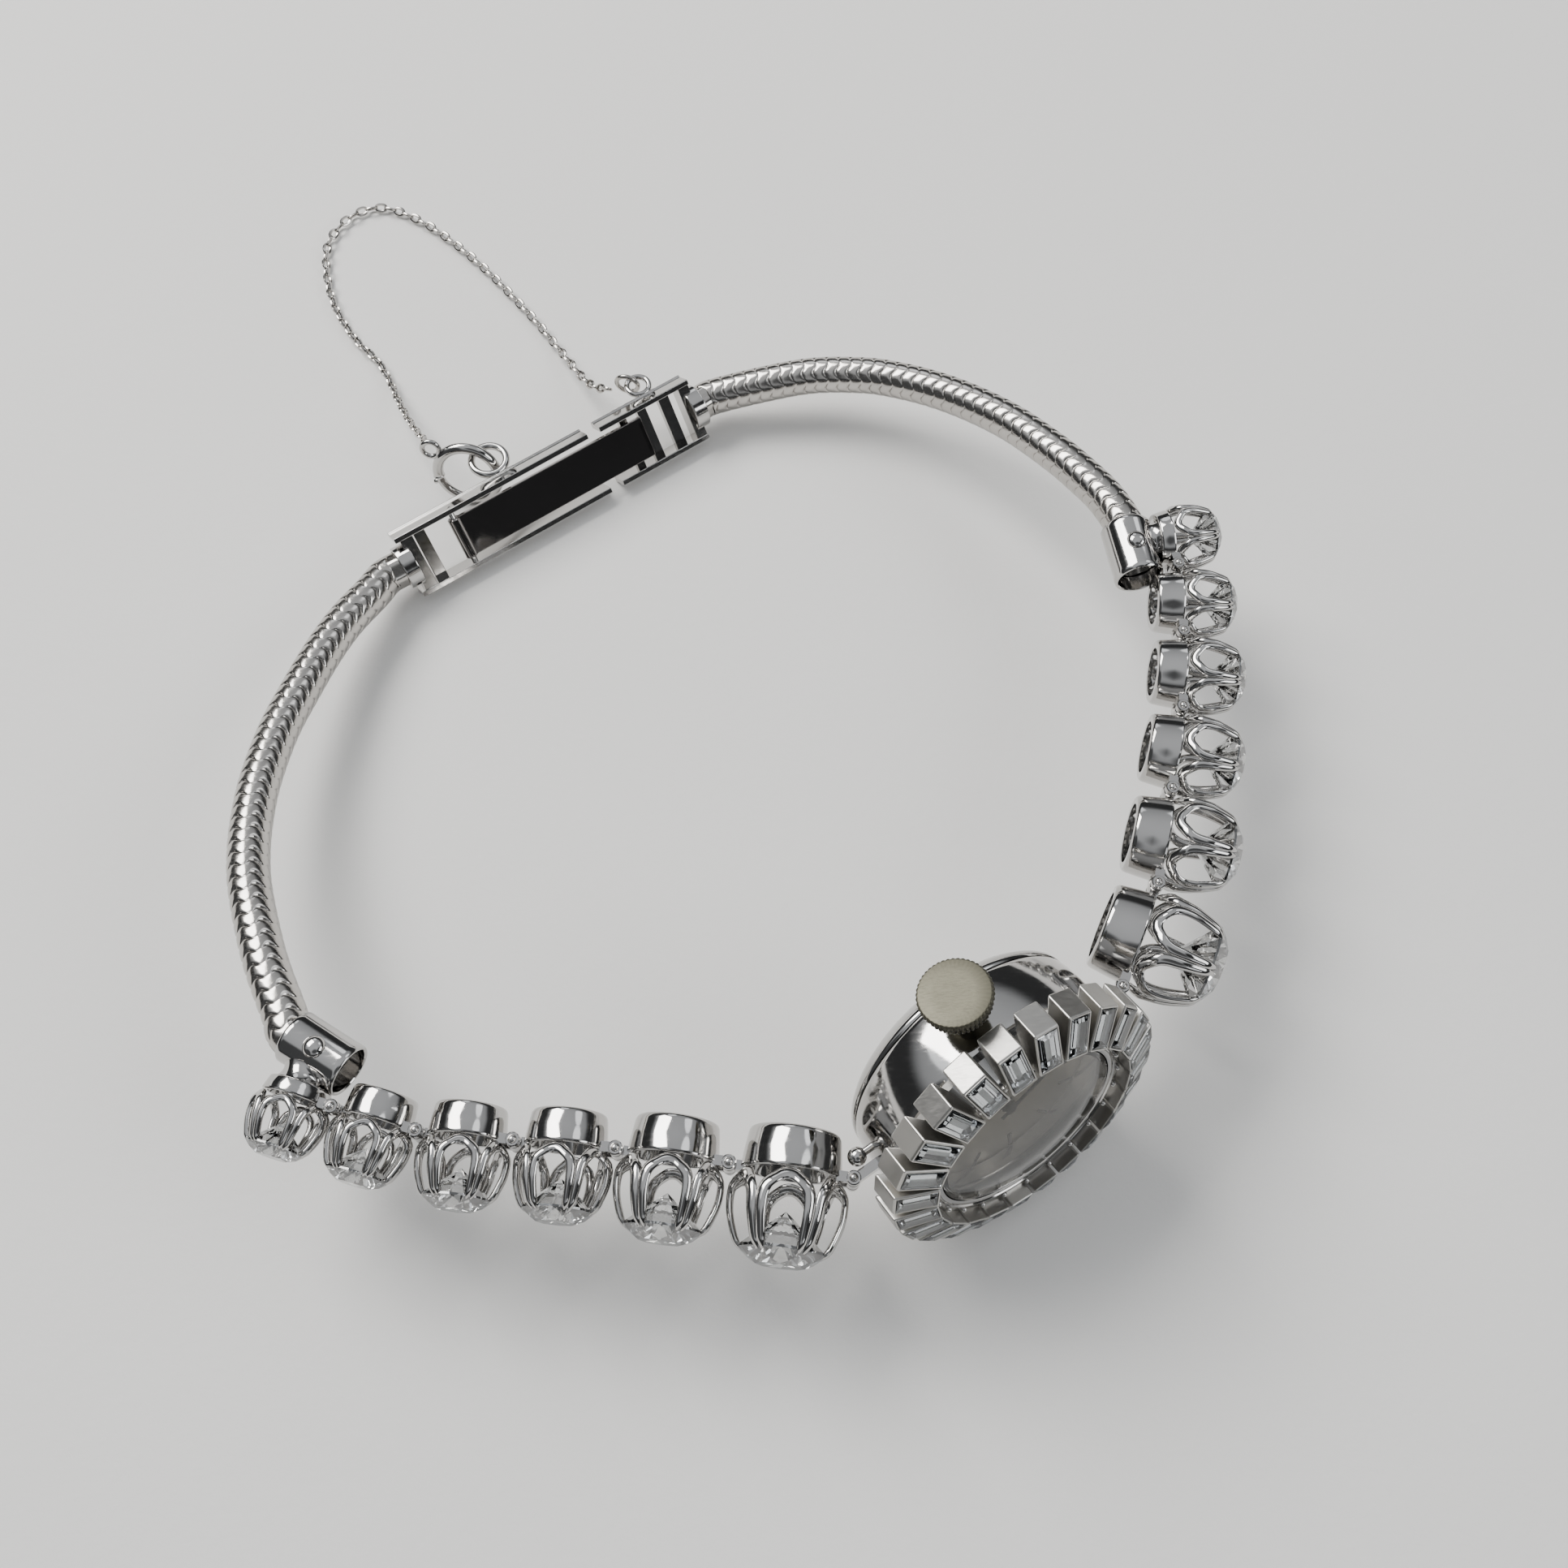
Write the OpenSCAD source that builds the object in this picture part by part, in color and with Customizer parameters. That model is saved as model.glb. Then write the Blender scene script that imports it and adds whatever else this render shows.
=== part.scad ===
// Lady's cocktail watch on a closed bracelet, lying on its edge.
// Millimetres. +Z is up, the origin is at the middle of the base of the watch,
// and the hinge axes of the bracelet's links stand upright.

/* [Links] */
// Crown diameters of the six links of a row, smallest first
link_d = [4.30, 4.50, 4.90, 5.15, 5.70, 6.25]; // [4:0.05:6.5]
// Gap between the crowns of two links in a straight line
link_gap = 0.13; // [0.1:0.01:0.25]
// Length of a cup behind the hinge line, for one millimetre of crown diameter
cup_share = 0.33; // [0.3:0.01:0.38]
// Length of the smallest link's cup, which carries the hood
end_cup_len = 0.75; // [0.7:0.05:0.9]
// Outer diameter of a cup at the hinge line, for one millimetre of crown diameter
cup_d_share = 0.84; // [0.8:0.01:0.85]
// Wall of a cup
cup_wall = 0.32; // [0.25:0.01:0.4]
// Length of a crown in front of the hinge line, for one millimetre of diameter
crown_share = 0.68; // [0.64:0.01:0.72]
// Wall of the crown's hoops and claws
hoop_wall = 0.28; // [0.22:0.01:0.34]
// Number of hoops round a crown
hoops = 6; // [5:1:8]
// Girdle diameter of a stone, for one millimetre of crown diameter
stone_share = 0.72; // [0.68:0.01:0.73]
// Depth of the seat cut in the claws beyond the stone
stone_gap = 0.01; // [0.005:0.005:0.03]
// Height of a stone's table above the claws, for one millimetre of crown diameter
stone_rise = 0.06; // [0.04:0.01:0.08]

/* [Hinges] */
// Radius of a hinge pin
pin_r = 0.20; // [0.16:0.01:0.22]
// Radial clearance of a hinge pin in its barrel
pin_gap = 0.04; // [0.02:0.01:0.06]
// Outer radius of a hinge barrel
barrel_r = 0.38; // [0.36:0.01:0.4]
// Height of the middle barrel
barrel_h = 0.9; // [0.7:0.05:1.1]
// Height of each outer barrel
ear_h = 0.5; // [0.4:0.05:0.7]
// Play between the barrels of one hinge
ear_gap = 0.06; // [0.04:0.01:0.1]

/* [Snake chains] */
// Outside diameter of the snake chains
chain_d = 2.4; // [2.3:0.05:2.45]
// Length of one ring of the snake chain
ring_pitch = 0.8; // [0.7:0.02:0.9]
// Depth of the groove between two rings
ring_groove = 0.09; // [0.06:0.01:0.12]
// Inside diameter of the hood that takes the chain's end
hood_bore_d = 2.54; // [2.5:0.02:2.7]
// Wall of the hood
hood_wall = 0.22; // [0.18:0.01:0.28]
// Length of the hood
hood_len = 3.7; // [3.4:0.1:4]
// Angles between the left and the right hood and their rows of links
hood_skews = [15, 1]; // [0:1:18]
// Gaps between the hoods and the smallest links' cups
hood_gaps = [0.3, 0.05]; // [0.05:0.05:0.35]
// Distances of the hoods' middles from the smallest links' middles, along the rows
hood_shifts = [0.35, 0.6]; // [0.3:0.05:0.7]
// Radius of a rivet's shank
rivet_r = 0.24; // [0.2:0.01:0.28]
// Radius of a rivet's domed head
rivet_head_r = 0.62; // [0.5:0.02:0.7]

/* [Clasp] */
// Width of the clasp, across its rails
clasp_w = 4.4; // [4.2:0.05:4.7]
// Depth of the rails, from the wrist side to the outside
rail_depth = 1.5; // [1.4:0.05:1.7]
// Wall of a rail
rail_wall = 0.36; // [0.3:0.02:0.45]
// Length of the left frame
left_frame_len = 14.5; // [14:0.1:15]
// Length of the right frame
right_frame_len = 7; // [6.8:0.1:7.4]
// Gap between the two frames when the clasp is closed
frame_gap = 0.9; // [0.7:0.1:1.1]
// Reach of the folding plate's hooked end into the right frame
hook_in = 3; // [2.8:0.1:3.2]
// Thickness of the folding plate
plate_t = 0.38; // [0.3:0.02:0.45]
// Place of the plate's hinge pin along the clasp
plate_pin_x = 4.1; // [3.9:0.05:4.3]
// Gap between the plate and the rails
plate_gap = 0.42; // [0.3:0.02:0.5]
// Angle by which the clasp leans back from upright
clasp_lean = 36; // [30:1:42]

/* [Watch head] */
// Outside diameter of the ring of baguette stones
bezel_d = 16.8; // [16:0.1:17.4]
// Number of baguette stones, each in a box of its own
baguettes = 24; // [20:1:26]
// Width of a baguette's box
box_w = 1.5; // [1.3:0.02:1.6]
// Depth of a box at the outer end, along the case
box_depth = 1.7; // [1.5:0.05:1.9]
// Wall of a box around its stone
box_wall = 0.16; // [0.12:0.01:0.2]
// Diameter of the opening in the bezel
opening_d = 10.7; // [10:0.1:11]
// Diameter of the case band
case_d = 14.4; // [14:0.1:14.8]
// Wall of the case band
case_wall = 0.6; // [0.5:0.02:0.7]
// Depth of the case band
band_depth = 3.5; // [3.3:0.05:3.8]
// Height of the domed back
back_depth = 1.7; // [1.5:0.05:1.9]
// Diameter of the back's flat middle
back_flat_d = 8.0; // [7:0.1:9]
// Height of the crystal's dome above the bezel
dome_h = 1.1; // [0.9:0.05:1.3]
// Angle by which the head leans back from upright
head_lean = 17; // [13:1:20]
// Half the distance between the head's two hinge axes
lug_reach = 8.8; // [8.75:0.05:9.1]
// Distance of the hinge axes behind the middle of the head
hinge_back = 0.5; // [0.4:0.05:0.6]

/* [Winding crown] */
// Diameter of the winding crown
knob_d = 3.8; // [3.5:0.05:4]
// Thickness of the winding crown
knob_t = 1.2; // [1.1:0.05:1.4]
// Distance of the crown's inner face from the middle of the head
knob_reach = 8.9; // [8.7:0.05:9.1]
// Turn of the stem about the dial's middle, from the dial's upright
stem_turn = 5.5; // [4:0.5:7]
// Number of notches round the crown
knob_notches = 32; // [24:1:36]
// Radius of the winding stem
stem_r = 0.28; // [0.24:0.01:0.32]
// Travel of the crown when it is pulled out to set the hands
knob_travel = 0.7; // [0.5:0.05:0.75]

/* [Movement] */
// Diameter of the main plate
plate_d = 13.1; // [12.8:0.02:13.14]
// Diameter of the mainspring barrel
spring_barrel_d = 4.8; // [4.6:0.05:4.9]
// Diameter of the centre wheel
centre_wheel_d = 3.8; // [3.7:0.05:3.9]
// Diameter of the third wheel
third_wheel_d = 3.2; // [3.1:0.05:3.25]
// Diameter of the fourth wheel
fourth_wheel_d = 2.7; // [2.6:0.05:2.75]
// Diameter of the escape wheel
escape_wheel_d = 2.0; // [1.9:0.05:2.05]
// Diameter of the balance wheel
balance_d = 3.4; // [3.2:0.05:3.5]
// Thickness of the train wheels
wheel_t = 0.14; // [0.1:0.01:0.16]
// Radius of the wheels' arbors
arbor_r = 0.1; // [0.08:0.01:0.12]
// Radial clearance of an arbor in its hole
arbor_gap = 0.03; // [0.02:0.01:0.04]

/* [Safety chain] */
// Width of the safety chain
safety_d = 0.8; // [0.7:0.02:0.8]
// Outside diameter of the spring ring
spring_ring_d = 4.8; // [4.6:0.05:4.9]
// Wire diameter of the spring ring
spring_wire_d = 0.72; // [0.66:0.02:0.76]
// Outside diameter of the keeper ring on the clasp
keeper_d = 2.8; // [2.7:0.05:2.9]
// Wire diameter of the keeper ring
keeper_wire_d = 0.5; // [0.46:0.02:0.54]
// Outside diameter of the loop for the jump ring
loop_d = 1.9; // [1.8:0.05:2]
// Wire diameter of the loop
loop_wire_d = 0.4; // [0.36:0.02:0.42]

/* [Hidden] */
rows = ["left", "right"];

// Where the watch lies: the head's middle, the turn of its hinge line, and
// the directions of the links from the head outwards, in degrees. The head
// rests on its lowest box or on the edge of its back, and the clasp on one rail.
head_turn = 34.65;
case_r = case_d / 2;
band_top = 0.9;
band_bottom = band_top - band_depth;
back_bottom = band_bottom - back_depth;
bezel_r = bezel_d / 2;
opening_r = opening_d / 2;
box_low = 0.85;
head_z = max(
    1.0036 * bezel_r * cos(head_lean) - box_low * sin(head_lean),
    (case_r - 0.1) * cos(head_lean) - (band_bottom - 0.45) * sin(head_lean)
);
head_pos = [13.5, -21.1, head_z];
left_turns = [-16.2, -15.2, -5.5, -4.5, -7.0, -7.2];
right_turns = [98, 88, 83.5, 77.5, 76.5, 67];
clasp_pos = [-12.9, 20.85, clasp_w / 2 * cos(clasp_lean) + rail_depth / 2 * sin(clasp_lean)];
clasp_turn = 34.6;
clasp_len = left_frame_len + frame_gap + right_frame_len;

// Directions in the plan.
function plan(a) = [cos(a), sin(a), 0];

// A row is laid link by link from the head's hinge outwards. For the left row
// a link's direction points to the head, for the right row away from it.
function pitch(i) = link_d[i] + link_gap;
function outward(side, i) = side == "left" ? -plan(left_turns[i]) : plan(right_turns[i]);
function inner_joint(side, i) = i == 5
    ? head_pos + hinge_back * plan(head_turn + 90)
        + (side == "left" ? -1 : 1) * lug_reach * plan(head_turn)
    : inner_joint(side, i + 1) + pitch(i + 1) * outward(side, i + 1);
function link_mid(side, i) = inner_joint(side, i) + pitch(i) / 2 * outward(side, i);
function row_angle(side, i) = side == "left" ? left_turns[i] : right_turns[i];

// The hood on the smallest link lies behind its cup.
hood_r = hood_bore_d / 2 + hood_wall;
function hood_back(side) = end_cup_len + hood_r + hood_gaps[side == "left" ? 0 : 1];
function hood_angle(side) = side == "left"
    ? left_turns[0] - hood_skews[0]
    : right_turns[0] + 180 + hood_skews[1];
function hood_mid(side) = link_mid(side, 0)
    - hood_back(side) * plan(row_angle(side, 0) - 90)
    - hood_shifts[side == "left" ? 0 : 1] * outward(side, 0);

// Routes of the snake chains, from the hood's inside to the clasp's socket.
left_route = [
    [-24.25, -16.95, 7.65], [-25.85, -13.7, 7.4], [-27.35, -9.75, 6.8], [-28.0, -7.1, 6.3],
    [-28.3, -4.35, 5.75], [-28.3, -1.8, 5.25], [-27.95, 1.4, 4.6], [-27.3, 4.15, 4.05],
    [-26.35, 7.4, 3.45], [-25.35, 9.95, 2.95], [-24.05, 12.25, 2.5]
];
right_route = [
    [22.45, 16.25, 7.45], [21.15, 18.25, 7.1], [19.75, 20.15, 6.7], [17.4, 22.8, 6.1],
    [14.95, 24.9, 5.5], [12.4, 26.6, 4.9], [9.75, 27.9, 4.3], [7.65, 28.55, 3.9],
    [4.35, 28.95, 3.35], [1.0, 28.65, 2.8]
];
chain_in_hood = 0.9;

// The safety chain lies on the table, and its ends rise to the two rings.
safety_z = safety_d / 2;
safety_route = [
    [-9.67, 28.21, 2.9], [-10.55, 28.95, 2.15], [-11.5, 30.25, 1.4], [-12.75, 32.25, 0.85],
    [-13.95, 34.15, safety_z + 0.12], [-15.35, 36.15, safety_z + 0.01], [-16.95, 38.15, safety_z],
    [-19.15, 40.75, safety_z], [-21.95, 43.55, safety_z], [-24.75, 45.75, safety_z],
    [-27.55, 46.95, safety_z], [-29.75, 46.15, safety_z], [-31.15, 43.75, safety_z],
    [-31.05, 40.95, safety_z], [-30.05, 37.65, safety_z], [-28.25, 34.65, safety_z],
    [-26.35, 32.55, safety_z + 0.01], [-25.25, 30.65, safety_z + 0.15], [-24.35, 28.65, 1.05],
    [-23.35, 26.6, 1.8], [-22.33, 24.78, 2.7], [-21.59, 23.56, 3.5]
];

// A smooth curve through points, with t counted in points.
function curve(p, t) =
    let (
        n = len(p) - 1,
        i = min(floor(t), n - 1),
        u = t - i,
        a = i > 0 ? p[i - 1] : 2 * p[0] - p[1],
        b = p[i],
        c = p[i + 1],
        d = i + 2 <= n ? p[i + 2] : 2 * p[n] - p[n - 1]
    )
    0.5 * (2 * b + (c - a) * u + (2 * a - 5 * b + 4 * c - d) * u * u
        + (3 * b - a - 3 * c + d) * u * u * u);
steps_a_point = 12;
function dense(p) = [for (i = [0 : (len(p) - 1) * steps_a_point]) curve(p, i / steps_a_point)];
function lengths(q) = [
    for (i = 0, s = 0; i < len(q); i = i + 1, s = s + (i < len(q) ? norm(q[i] - q[i - 1]) : 0)) s
];

// A tube of rings square to a route. Each ring is [distance, radius].
function unit(v) = v / norm(v);
module tube(route, rings, sides) {
    q = dense(route);
    s = lengths(q);
    table = [for (k = [0:2]) [for (i = [0 : len(q) - 1]) [s[i], q[i][k]]]];
    span = s[len(s) - 1];
    function at(d) = [for (k = [0:2]) lookup(d, table[k])];
    points = [
        for (r = rings)
            let (
                d = r[0],
                t = unit(at(min(d + 0.3, span)) - at(max(d - 0.3, 0))),
                side = unit(cross(t, [0, 0, 1])),
                top = cross(side, t)
            )
            for (j = [0 : sides - 1])
                at(d) + r[1] * (cos(360 * (j + 0.5) / sides) * side
                    + sin(360 * (j + 0.5) / sides) * top)
    ];
    n = len(rings);
    walls = [
        for (i = [0 : n - 2], j = [0 : sides - 1], half = [0, 1])
            let (a = i * sides + j, b = i * sides + (j + 1) % sides)
            half == 0 ? [a, b, b + sides] : [a, b + sides, a + sides]
    ];
    start = [for (j = [1 : sides - 2]) [0, j + 1, j]];
    first = (n - 1) * sides;
    end = [for (j = [1 : sides - 2]) [first, first + j, first + j + 1]];
    polyhedron(points = points, faces = concat(walls, start, end), convexity = 10);
}

// A snake chain: rings that swell and narrow along the route, with plain ends.
module snake_chain(side) {
    hood_dir = plan(hood_angle(side));
    inside = hood_mid(side) + chain_in_hood * hood_dir;
    entry = hood_mid(side) - (hood_len / 2 - 0.6) * hood_dir;
    mouth = hood_mid(side) - (hood_len / 2 + 0.3) * hood_dir;
    clasp_end = side == "left" ? [socket_depth, -1] : [clasp_len - socket_depth, 1];
    route = concat(
        [inside, entry, mouth],
        side == "left" ? left_route : right_route,
        [for (out = [2, 1, 0]) clasp_point([clasp_end[0] + out * clasp_end[1], 0, 0])]
    );
    span = let (s = lengths(dense(route))) s[len(s) - 1];
    count = floor((span - 2 * chain_d) / ring_pitch);
    start = (span - count * ring_pitch) / 2;
    low = chain_d / 2 - ring_groove;
    rings = concat(
        [[0, low], [start, low]],
        [
            for (i = [0 : count - 1], k = [0, 1])
                [start + (i + 0.12 + 0.7 * k) * ring_pitch, k == 0 ? low : chain_d / 2]
        ],
        [[span - start, low], [span, low]]
    );
    difference() {
        tube(route, rings, 8);
        translate(hood_mid(side)) cylinder(r = rivet_r + 0.01, h = 2 * chain_d, center = true, $fn = 24);
    }
}

// Placing. A link's own frame has its row along X and its stone along +Z,
// with Y upright, and the clasp's has its length along X and its width along Z.
module at_link(side, i) {
    translate(link_mid(side, i)) rotate([0, 0, row_angle(side, i)]) rotate([90, 0, 0]) children();
}
module at_clasp() {
    translate(clasp_pos) rotate([0, 0, clasp_turn]) rotate([-clasp_lean, 0, 0])
        translate([-clasp_len / 2, 0, 0]) children();
}
function lean_point(p, a) = [p[0], p[1] * cos(a) - p[2] * sin(a), p[1] * sin(a) + p[2] * cos(a)];
function turn_point(p, a) = [p[0] * cos(a) - p[1] * sin(a), p[0] * sin(a) + p[1] * cos(a), p[2]];
function clasp_point(p) = clasp_pos
    + turn_point(lean_point(p - [clasp_len / 2, 0, 0], -clasp_lean), clasp_turn);
// The head's own frame has the dial's normal along +Z and the winding crown along +Y.
module at_head() {
    translate(head_pos) rotate([0, 0, head_turn]) rotate([90 - head_lean, 0, 0]) children();
}
module at_head_upright() {
    translate(head_pos) rotate([0, 0, head_turn]) children();
}

module ring(d, wire_d) {
    rotate_extrude($fn = 48) translate([(d - wire_d) / 2, 0]) circle(d = wire_d, $fn = 16);
}
module tube_piece(r, bore, h) {
    difference() {
        cylinder(r = r, h = h, center = true, $fn = 32);
        cylinder(r = bore, h = h + 1, center = true, $fn = 32);
    }
}

// Collets. A cup of sheet metal carries a crown of hoops, whose sides run
// together in pairs as the claws that hold the stone.
function crown_profile(d) =
    let (r = d / 2, h = crown_share * d)
    [[cup_d_share * r, 0], [0.86 * r, 0.06 * h], [0.90 * r, 0.12 * h], [0.97 * r, 0.19 * h],
     [r, 0.29 * h], [0.97 * r, 0.56 * h], [0.85 * r, 0.80 * h], [0.78 * r, 0.92 * h],
     [0.68 * r, 0.985 * h]];
// A round brilliant with its girdle in the claws and its point towards the cup.
function brilliant_profile(d, extra) =
    let (r = stone_share * d / 2, top = (crown_share + stone_rise) * d, girdle = crown_share * d - 0.16 * r)
    [[0, girdle - 0.86 * r - 1.5 * extra], [r + extra, girdle - 0.03 * r - extra],
     [r + extra, girdle + 0.03 * r + extra], [0.58 * r + extra, top + extra], [0, top + extra]];
module crown_shell(d) {
    p = crown_profile(d);
    wall = [hoop_wall, 0];
    rotate_extrude($fn = 64)
        polygon(concat(p, [for (i = [len(p) - 1 : -1 : 0]) p[i] - wall]));
}
module hoop_window(d) {
    // The opening inside one hoop, round at the cup and open at the stone.
    h = crown_share * d;
    w = 0.3 * d;
    rotate([90, 0, 90]) linear_extrude(d) union() {
        translate([0, 0.10 * h + w / 2]) circle(d = w, $fn = 32);
        translate([-w / 2, 0.10 * h + w / 2]) square([w, 0.36 * h]);
        polygon([[-w / 2, 0.44 * h + w / 2 - 0.02 * h], [w / 2, 0.44 * h + w / 2 - 0.02 * h],
                 [0.12 * d, h + 0.1], [-0.12 * d, h + 0.1]]);
    }
}
module claw_window(d) {
    // The pointed opening between the cup's rim and two hoops.
    h = crown_share * d;
    rotate([90, 0, 90]) linear_extrude(d)
        polygon([[-0.12 * d, 0.05 * h], [0.12 * d, 0.05 * h], [0, 0.5 * h]]);
}
module collet(side, i) {
    d = link_d[i];
    r = cup_d_share * d / 2;
    back = i == 0 ? end_cup_len : cup_share * d;
    joint = pitch(i) / 2;
    reach = joint - r + cup_wall;
    inward = side == "left" ? 1 : -1;
    bore = pin_r + pin_gap;
    ear_z = (barrel_h + ear_h) / 2 + ear_gap;
    at_link(side, i) difference() {
        union() {
            rotate_extrude($fn = 64)
                polygon([[r - cup_wall, 0], [r, 0], [0.98 * r, -0.5 * back], [0.91 * r, -0.82 * back],
                         [0.80 * r, -back], [0.80 * r - cup_wall, -back]]);
            difference() {
                crown_shell(d);
                for (k = [0 : hoops - 1]) {
                    rotate(360 / hoops * k + 90) hoop_window(d);
                    rotate(360 / hoops * (k + 0.5) + 90) claw_window(d);
                }
                rotate_extrude($fn = 64) polygon(brilliant_profile(d, stone_gap));
            }
            // The middle barrel on the outer end, towards the hood.
            if (i > 0) {
                translate([-inward * joint, 0, 0]) rotate([90, 0, 0])
                    cylinder(r = barrel_r, h = barrel_h, center = true, $fn = 32);
                translate([-inward * (joint - reach / 2), 0, 0])
                    cube([reach, barrel_h, 0.6], center = true);
            }
            // The two outer barrels on the inner end, with the pin through them.
            for (k = [-1, 1]) {
                translate([inward * joint, k * ear_z, 0]) rotate([90, 0, 0])
                    cylinder(r = barrel_r, h = ear_h, center = true, $fn = 32);
                translate([inward * (joint - reach / 2), k * ear_z, 0])
                    cube([reach, ear_h, 0.6], center = true);
            }
            translate([inward * joint, 0, 0]) rotate([90, 0, 0])
                cylinder(r = pin_r, h = 2 * ear_z, center = true, $fn = 32);
        }
        if (i > 0)
            translate([-inward * joint, 0, 0]) rotate([90, 0, 0])
                cylinder(r = bore, h = barrel_h + 1, center = true, $fn = 32);
        // Room for the neighbour's middle barrel between the two outer ones.
        for (k = [-1, 1])
            translate([inward * joint, k * (barrel_h / 2 + ear_gap) / 2, 0]) rotate([90, 0, 0])
                difference() {
                    cylinder(r = barrel_r + ear_gap, h = barrel_h / 2 + ear_gap, center = true, $fn = 32);
                    cylinder(r = pin_r, h = barrel_h, center = true, $fn = 32);
                }
    }
}

module brilliant(side, i) {
    at_link(side, i) rotate_extrude($fn = 32) polygon(brilliant_profile(link_d[i], 0));
}

// Hoods and rivets.
module at_hood(side) {
    translate(hood_mid(side)) rotate([0, 0, hood_angle(side)]) rotate([0, 90, 0]) children();
}
module hood(side) {
    foot_r = 0.8 * cup_d_share * link_d[0] / 2 - 0.05;
    difference() {
        union() {
            at_hood(side) cylinder(r = hood_r, h = hood_len, center = true, $fn = 48);
            // The foot that joins the hood to the smallest link's cup.
            at_link(side, 0) translate([0, 0, -end_cup_len - 1.1]) cylinder(r = foot_r, h = 1.1, $fn = 48);
        }
        at_hood(side) {
            cylinder(d = hood_bore_d, h = hood_len + 2, center = true, $fn = 48);
            rotate([0, 90, 0]) cylinder(r = rivet_r, h = 3 * hood_r, center = true, $fn = 24);
        }
        // The hood is filed flat where it would touch the cup.
        at_link(side, 0) translate([0, 0, -end_cup_len]) cylinder(r = link_d[0] / 2, h = 2, $fn = 48);
    }
}
module rivet(side) {
    translate(hood_mid(side)) {
        cylinder(r = rivet_r, h = 2 * hood_r + 0.02, center = true, $fn = 24);
        for (k = [0, 180]) rotate([k, 0, 0]) translate([0, 0, hood_r + 0.01])
            rotate_extrude($fn = 32) intersection() {
                translate([0, -0.5]) circle(r = 0.8, $fn = 48);
                square([rivet_head_r, 1]);
            }
    }
}

// Clasp. Two open frames of thin rails, bridged by bars, and a plate that
// folds out of them on a pin. Its hooked end holds the right frame's bar.
socket_depth = 0.5;
half_w = clasp_w / 2;
pin_y = -0.34;
plate_half = half_w - rail_wall - plate_gap;
plate_y = pin_y - 0.02;
bar_t = 0.55;
right_x = left_frame_len + frame_gap;
hook_x = right_x + hook_in;
plate_len = hook_x - plate_pin_x;
module rails(x0, x1) {
    for (k = [-1, 1])
        translate([x0, -rail_depth / 2, k > 0 ? half_w - rail_wall : -half_w])
            cube([x1 - x0, rail_depth, rail_wall]);
}
module bar(x, w, y) {
    translate([x, y, -half_w + rail_wall / 2]) cube([w, bar_t, clasp_w - rail_wall]);
}
module end_block(x, w) {
    translate([x, -rail_depth / 2 + 0.1, -half_w + rail_wall / 2])
        cube([w, rail_depth - 0.2, clasp_w - rail_wall]);
}
module socket(x, dir) {
    translate([x, 0, 0]) rotate([0, 90, 0])
        translate([0, 0, dir > 0 ? 0 : -1]) cylinder(d = chain_d + 0.5, h = 1, $fn = 32);
}
module clasp_left_frame() {
    color("silver") at_clasp() {
        difference() {
            union() {
                rails(0, left_frame_len);
                end_block(0.3, 0.9);
                bar(1.35, 0.8, 0.05);
                socket(-0.4, 1);
            }
            translate([plate_pin_x, pin_y, 0])
                cylinder(r = pin_r + 0.01, h = clasp_w + 1, center = true, $fn = 32);
            translate([-1, 0, 0]) rotate([0, 90, 0])
                cylinder(d = chain_d + 0.06, h = 1 + socket_depth, $fn = 32);
        }
        edge_ring(keeper_x, keeper_d, keeper_wire_d);
    }
}
// A ring soldered level to the outer edge of the upper rail, for the keeper
// of the spring ring and for the jump ring's loop.
module edge_ring(x, d, wire_d) {
    out = d / 2 - 0.1;
    translate([x, rail_depth / 2 + out * cos(clasp_lean), half_w + out * sin(clasp_lean)])
        rotate([clasp_lean, 0, 0]) ring(d, wire_d);
}
keeper_x = 8.3;
loop_x = 19.7;
module clasp_hinge_pin() {
    color("silver") at_clasp() translate([plate_pin_x, pin_y, 0])
        cylinder(r = pin_r, h = clasp_w, center = true, $fn = 32);
}
module clasp_plate() {
    knuckle_r = 0.42;
    color("gainsboro") at_clasp() difference() {
        union() {
            translate([plate_pin_x, pin_y, 0])
                cylinder(r = knuckle_r, h = 2 * plate_half, center = true, $fn = 32);
            translate([plate_pin_x, plate_y - plate_t / 2, -plate_half])
                cube([plate_len, plate_t, 2 * plate_half]);
            translate([hook_x - 0.35, plate_y - plate_t / 2, -plate_half + 0.3])
                cube([0.35, 0.75, 2 * plate_half - 0.6]);
        }
        translate([plate_pin_x, pin_y, 0])
            cylinder(r = pin_r + pin_gap, h = clasp_w, center = true, $fn = 32);
    }
}
hook_play = 0.4;
module clasp_right_frame() {
    color("silver") at_clasp() {
        difference() {
            union() {
                rails(right_x, clasp_len);
                bar(hook_x - 0.35 - hook_play - 0.6, 0.6, 0.1);
                bar(hook_x + 0.1, 0.7, 0.1);
                bar(hook_x + 1.8, 0.8, 0.1);
                end_block(clasp_len - 0.85, 0.8);
                socket(clasp_len + 0.4, -1);
            }
            translate([clasp_len - socket_depth, 0, 0]) rotate([0, 90, 0])
                cylinder(d = chain_d + 0.06, h = 2, $fn = 32);
        }
        edge_ring(loop_x, loop_d, loop_wire_d);
    }
}

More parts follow.
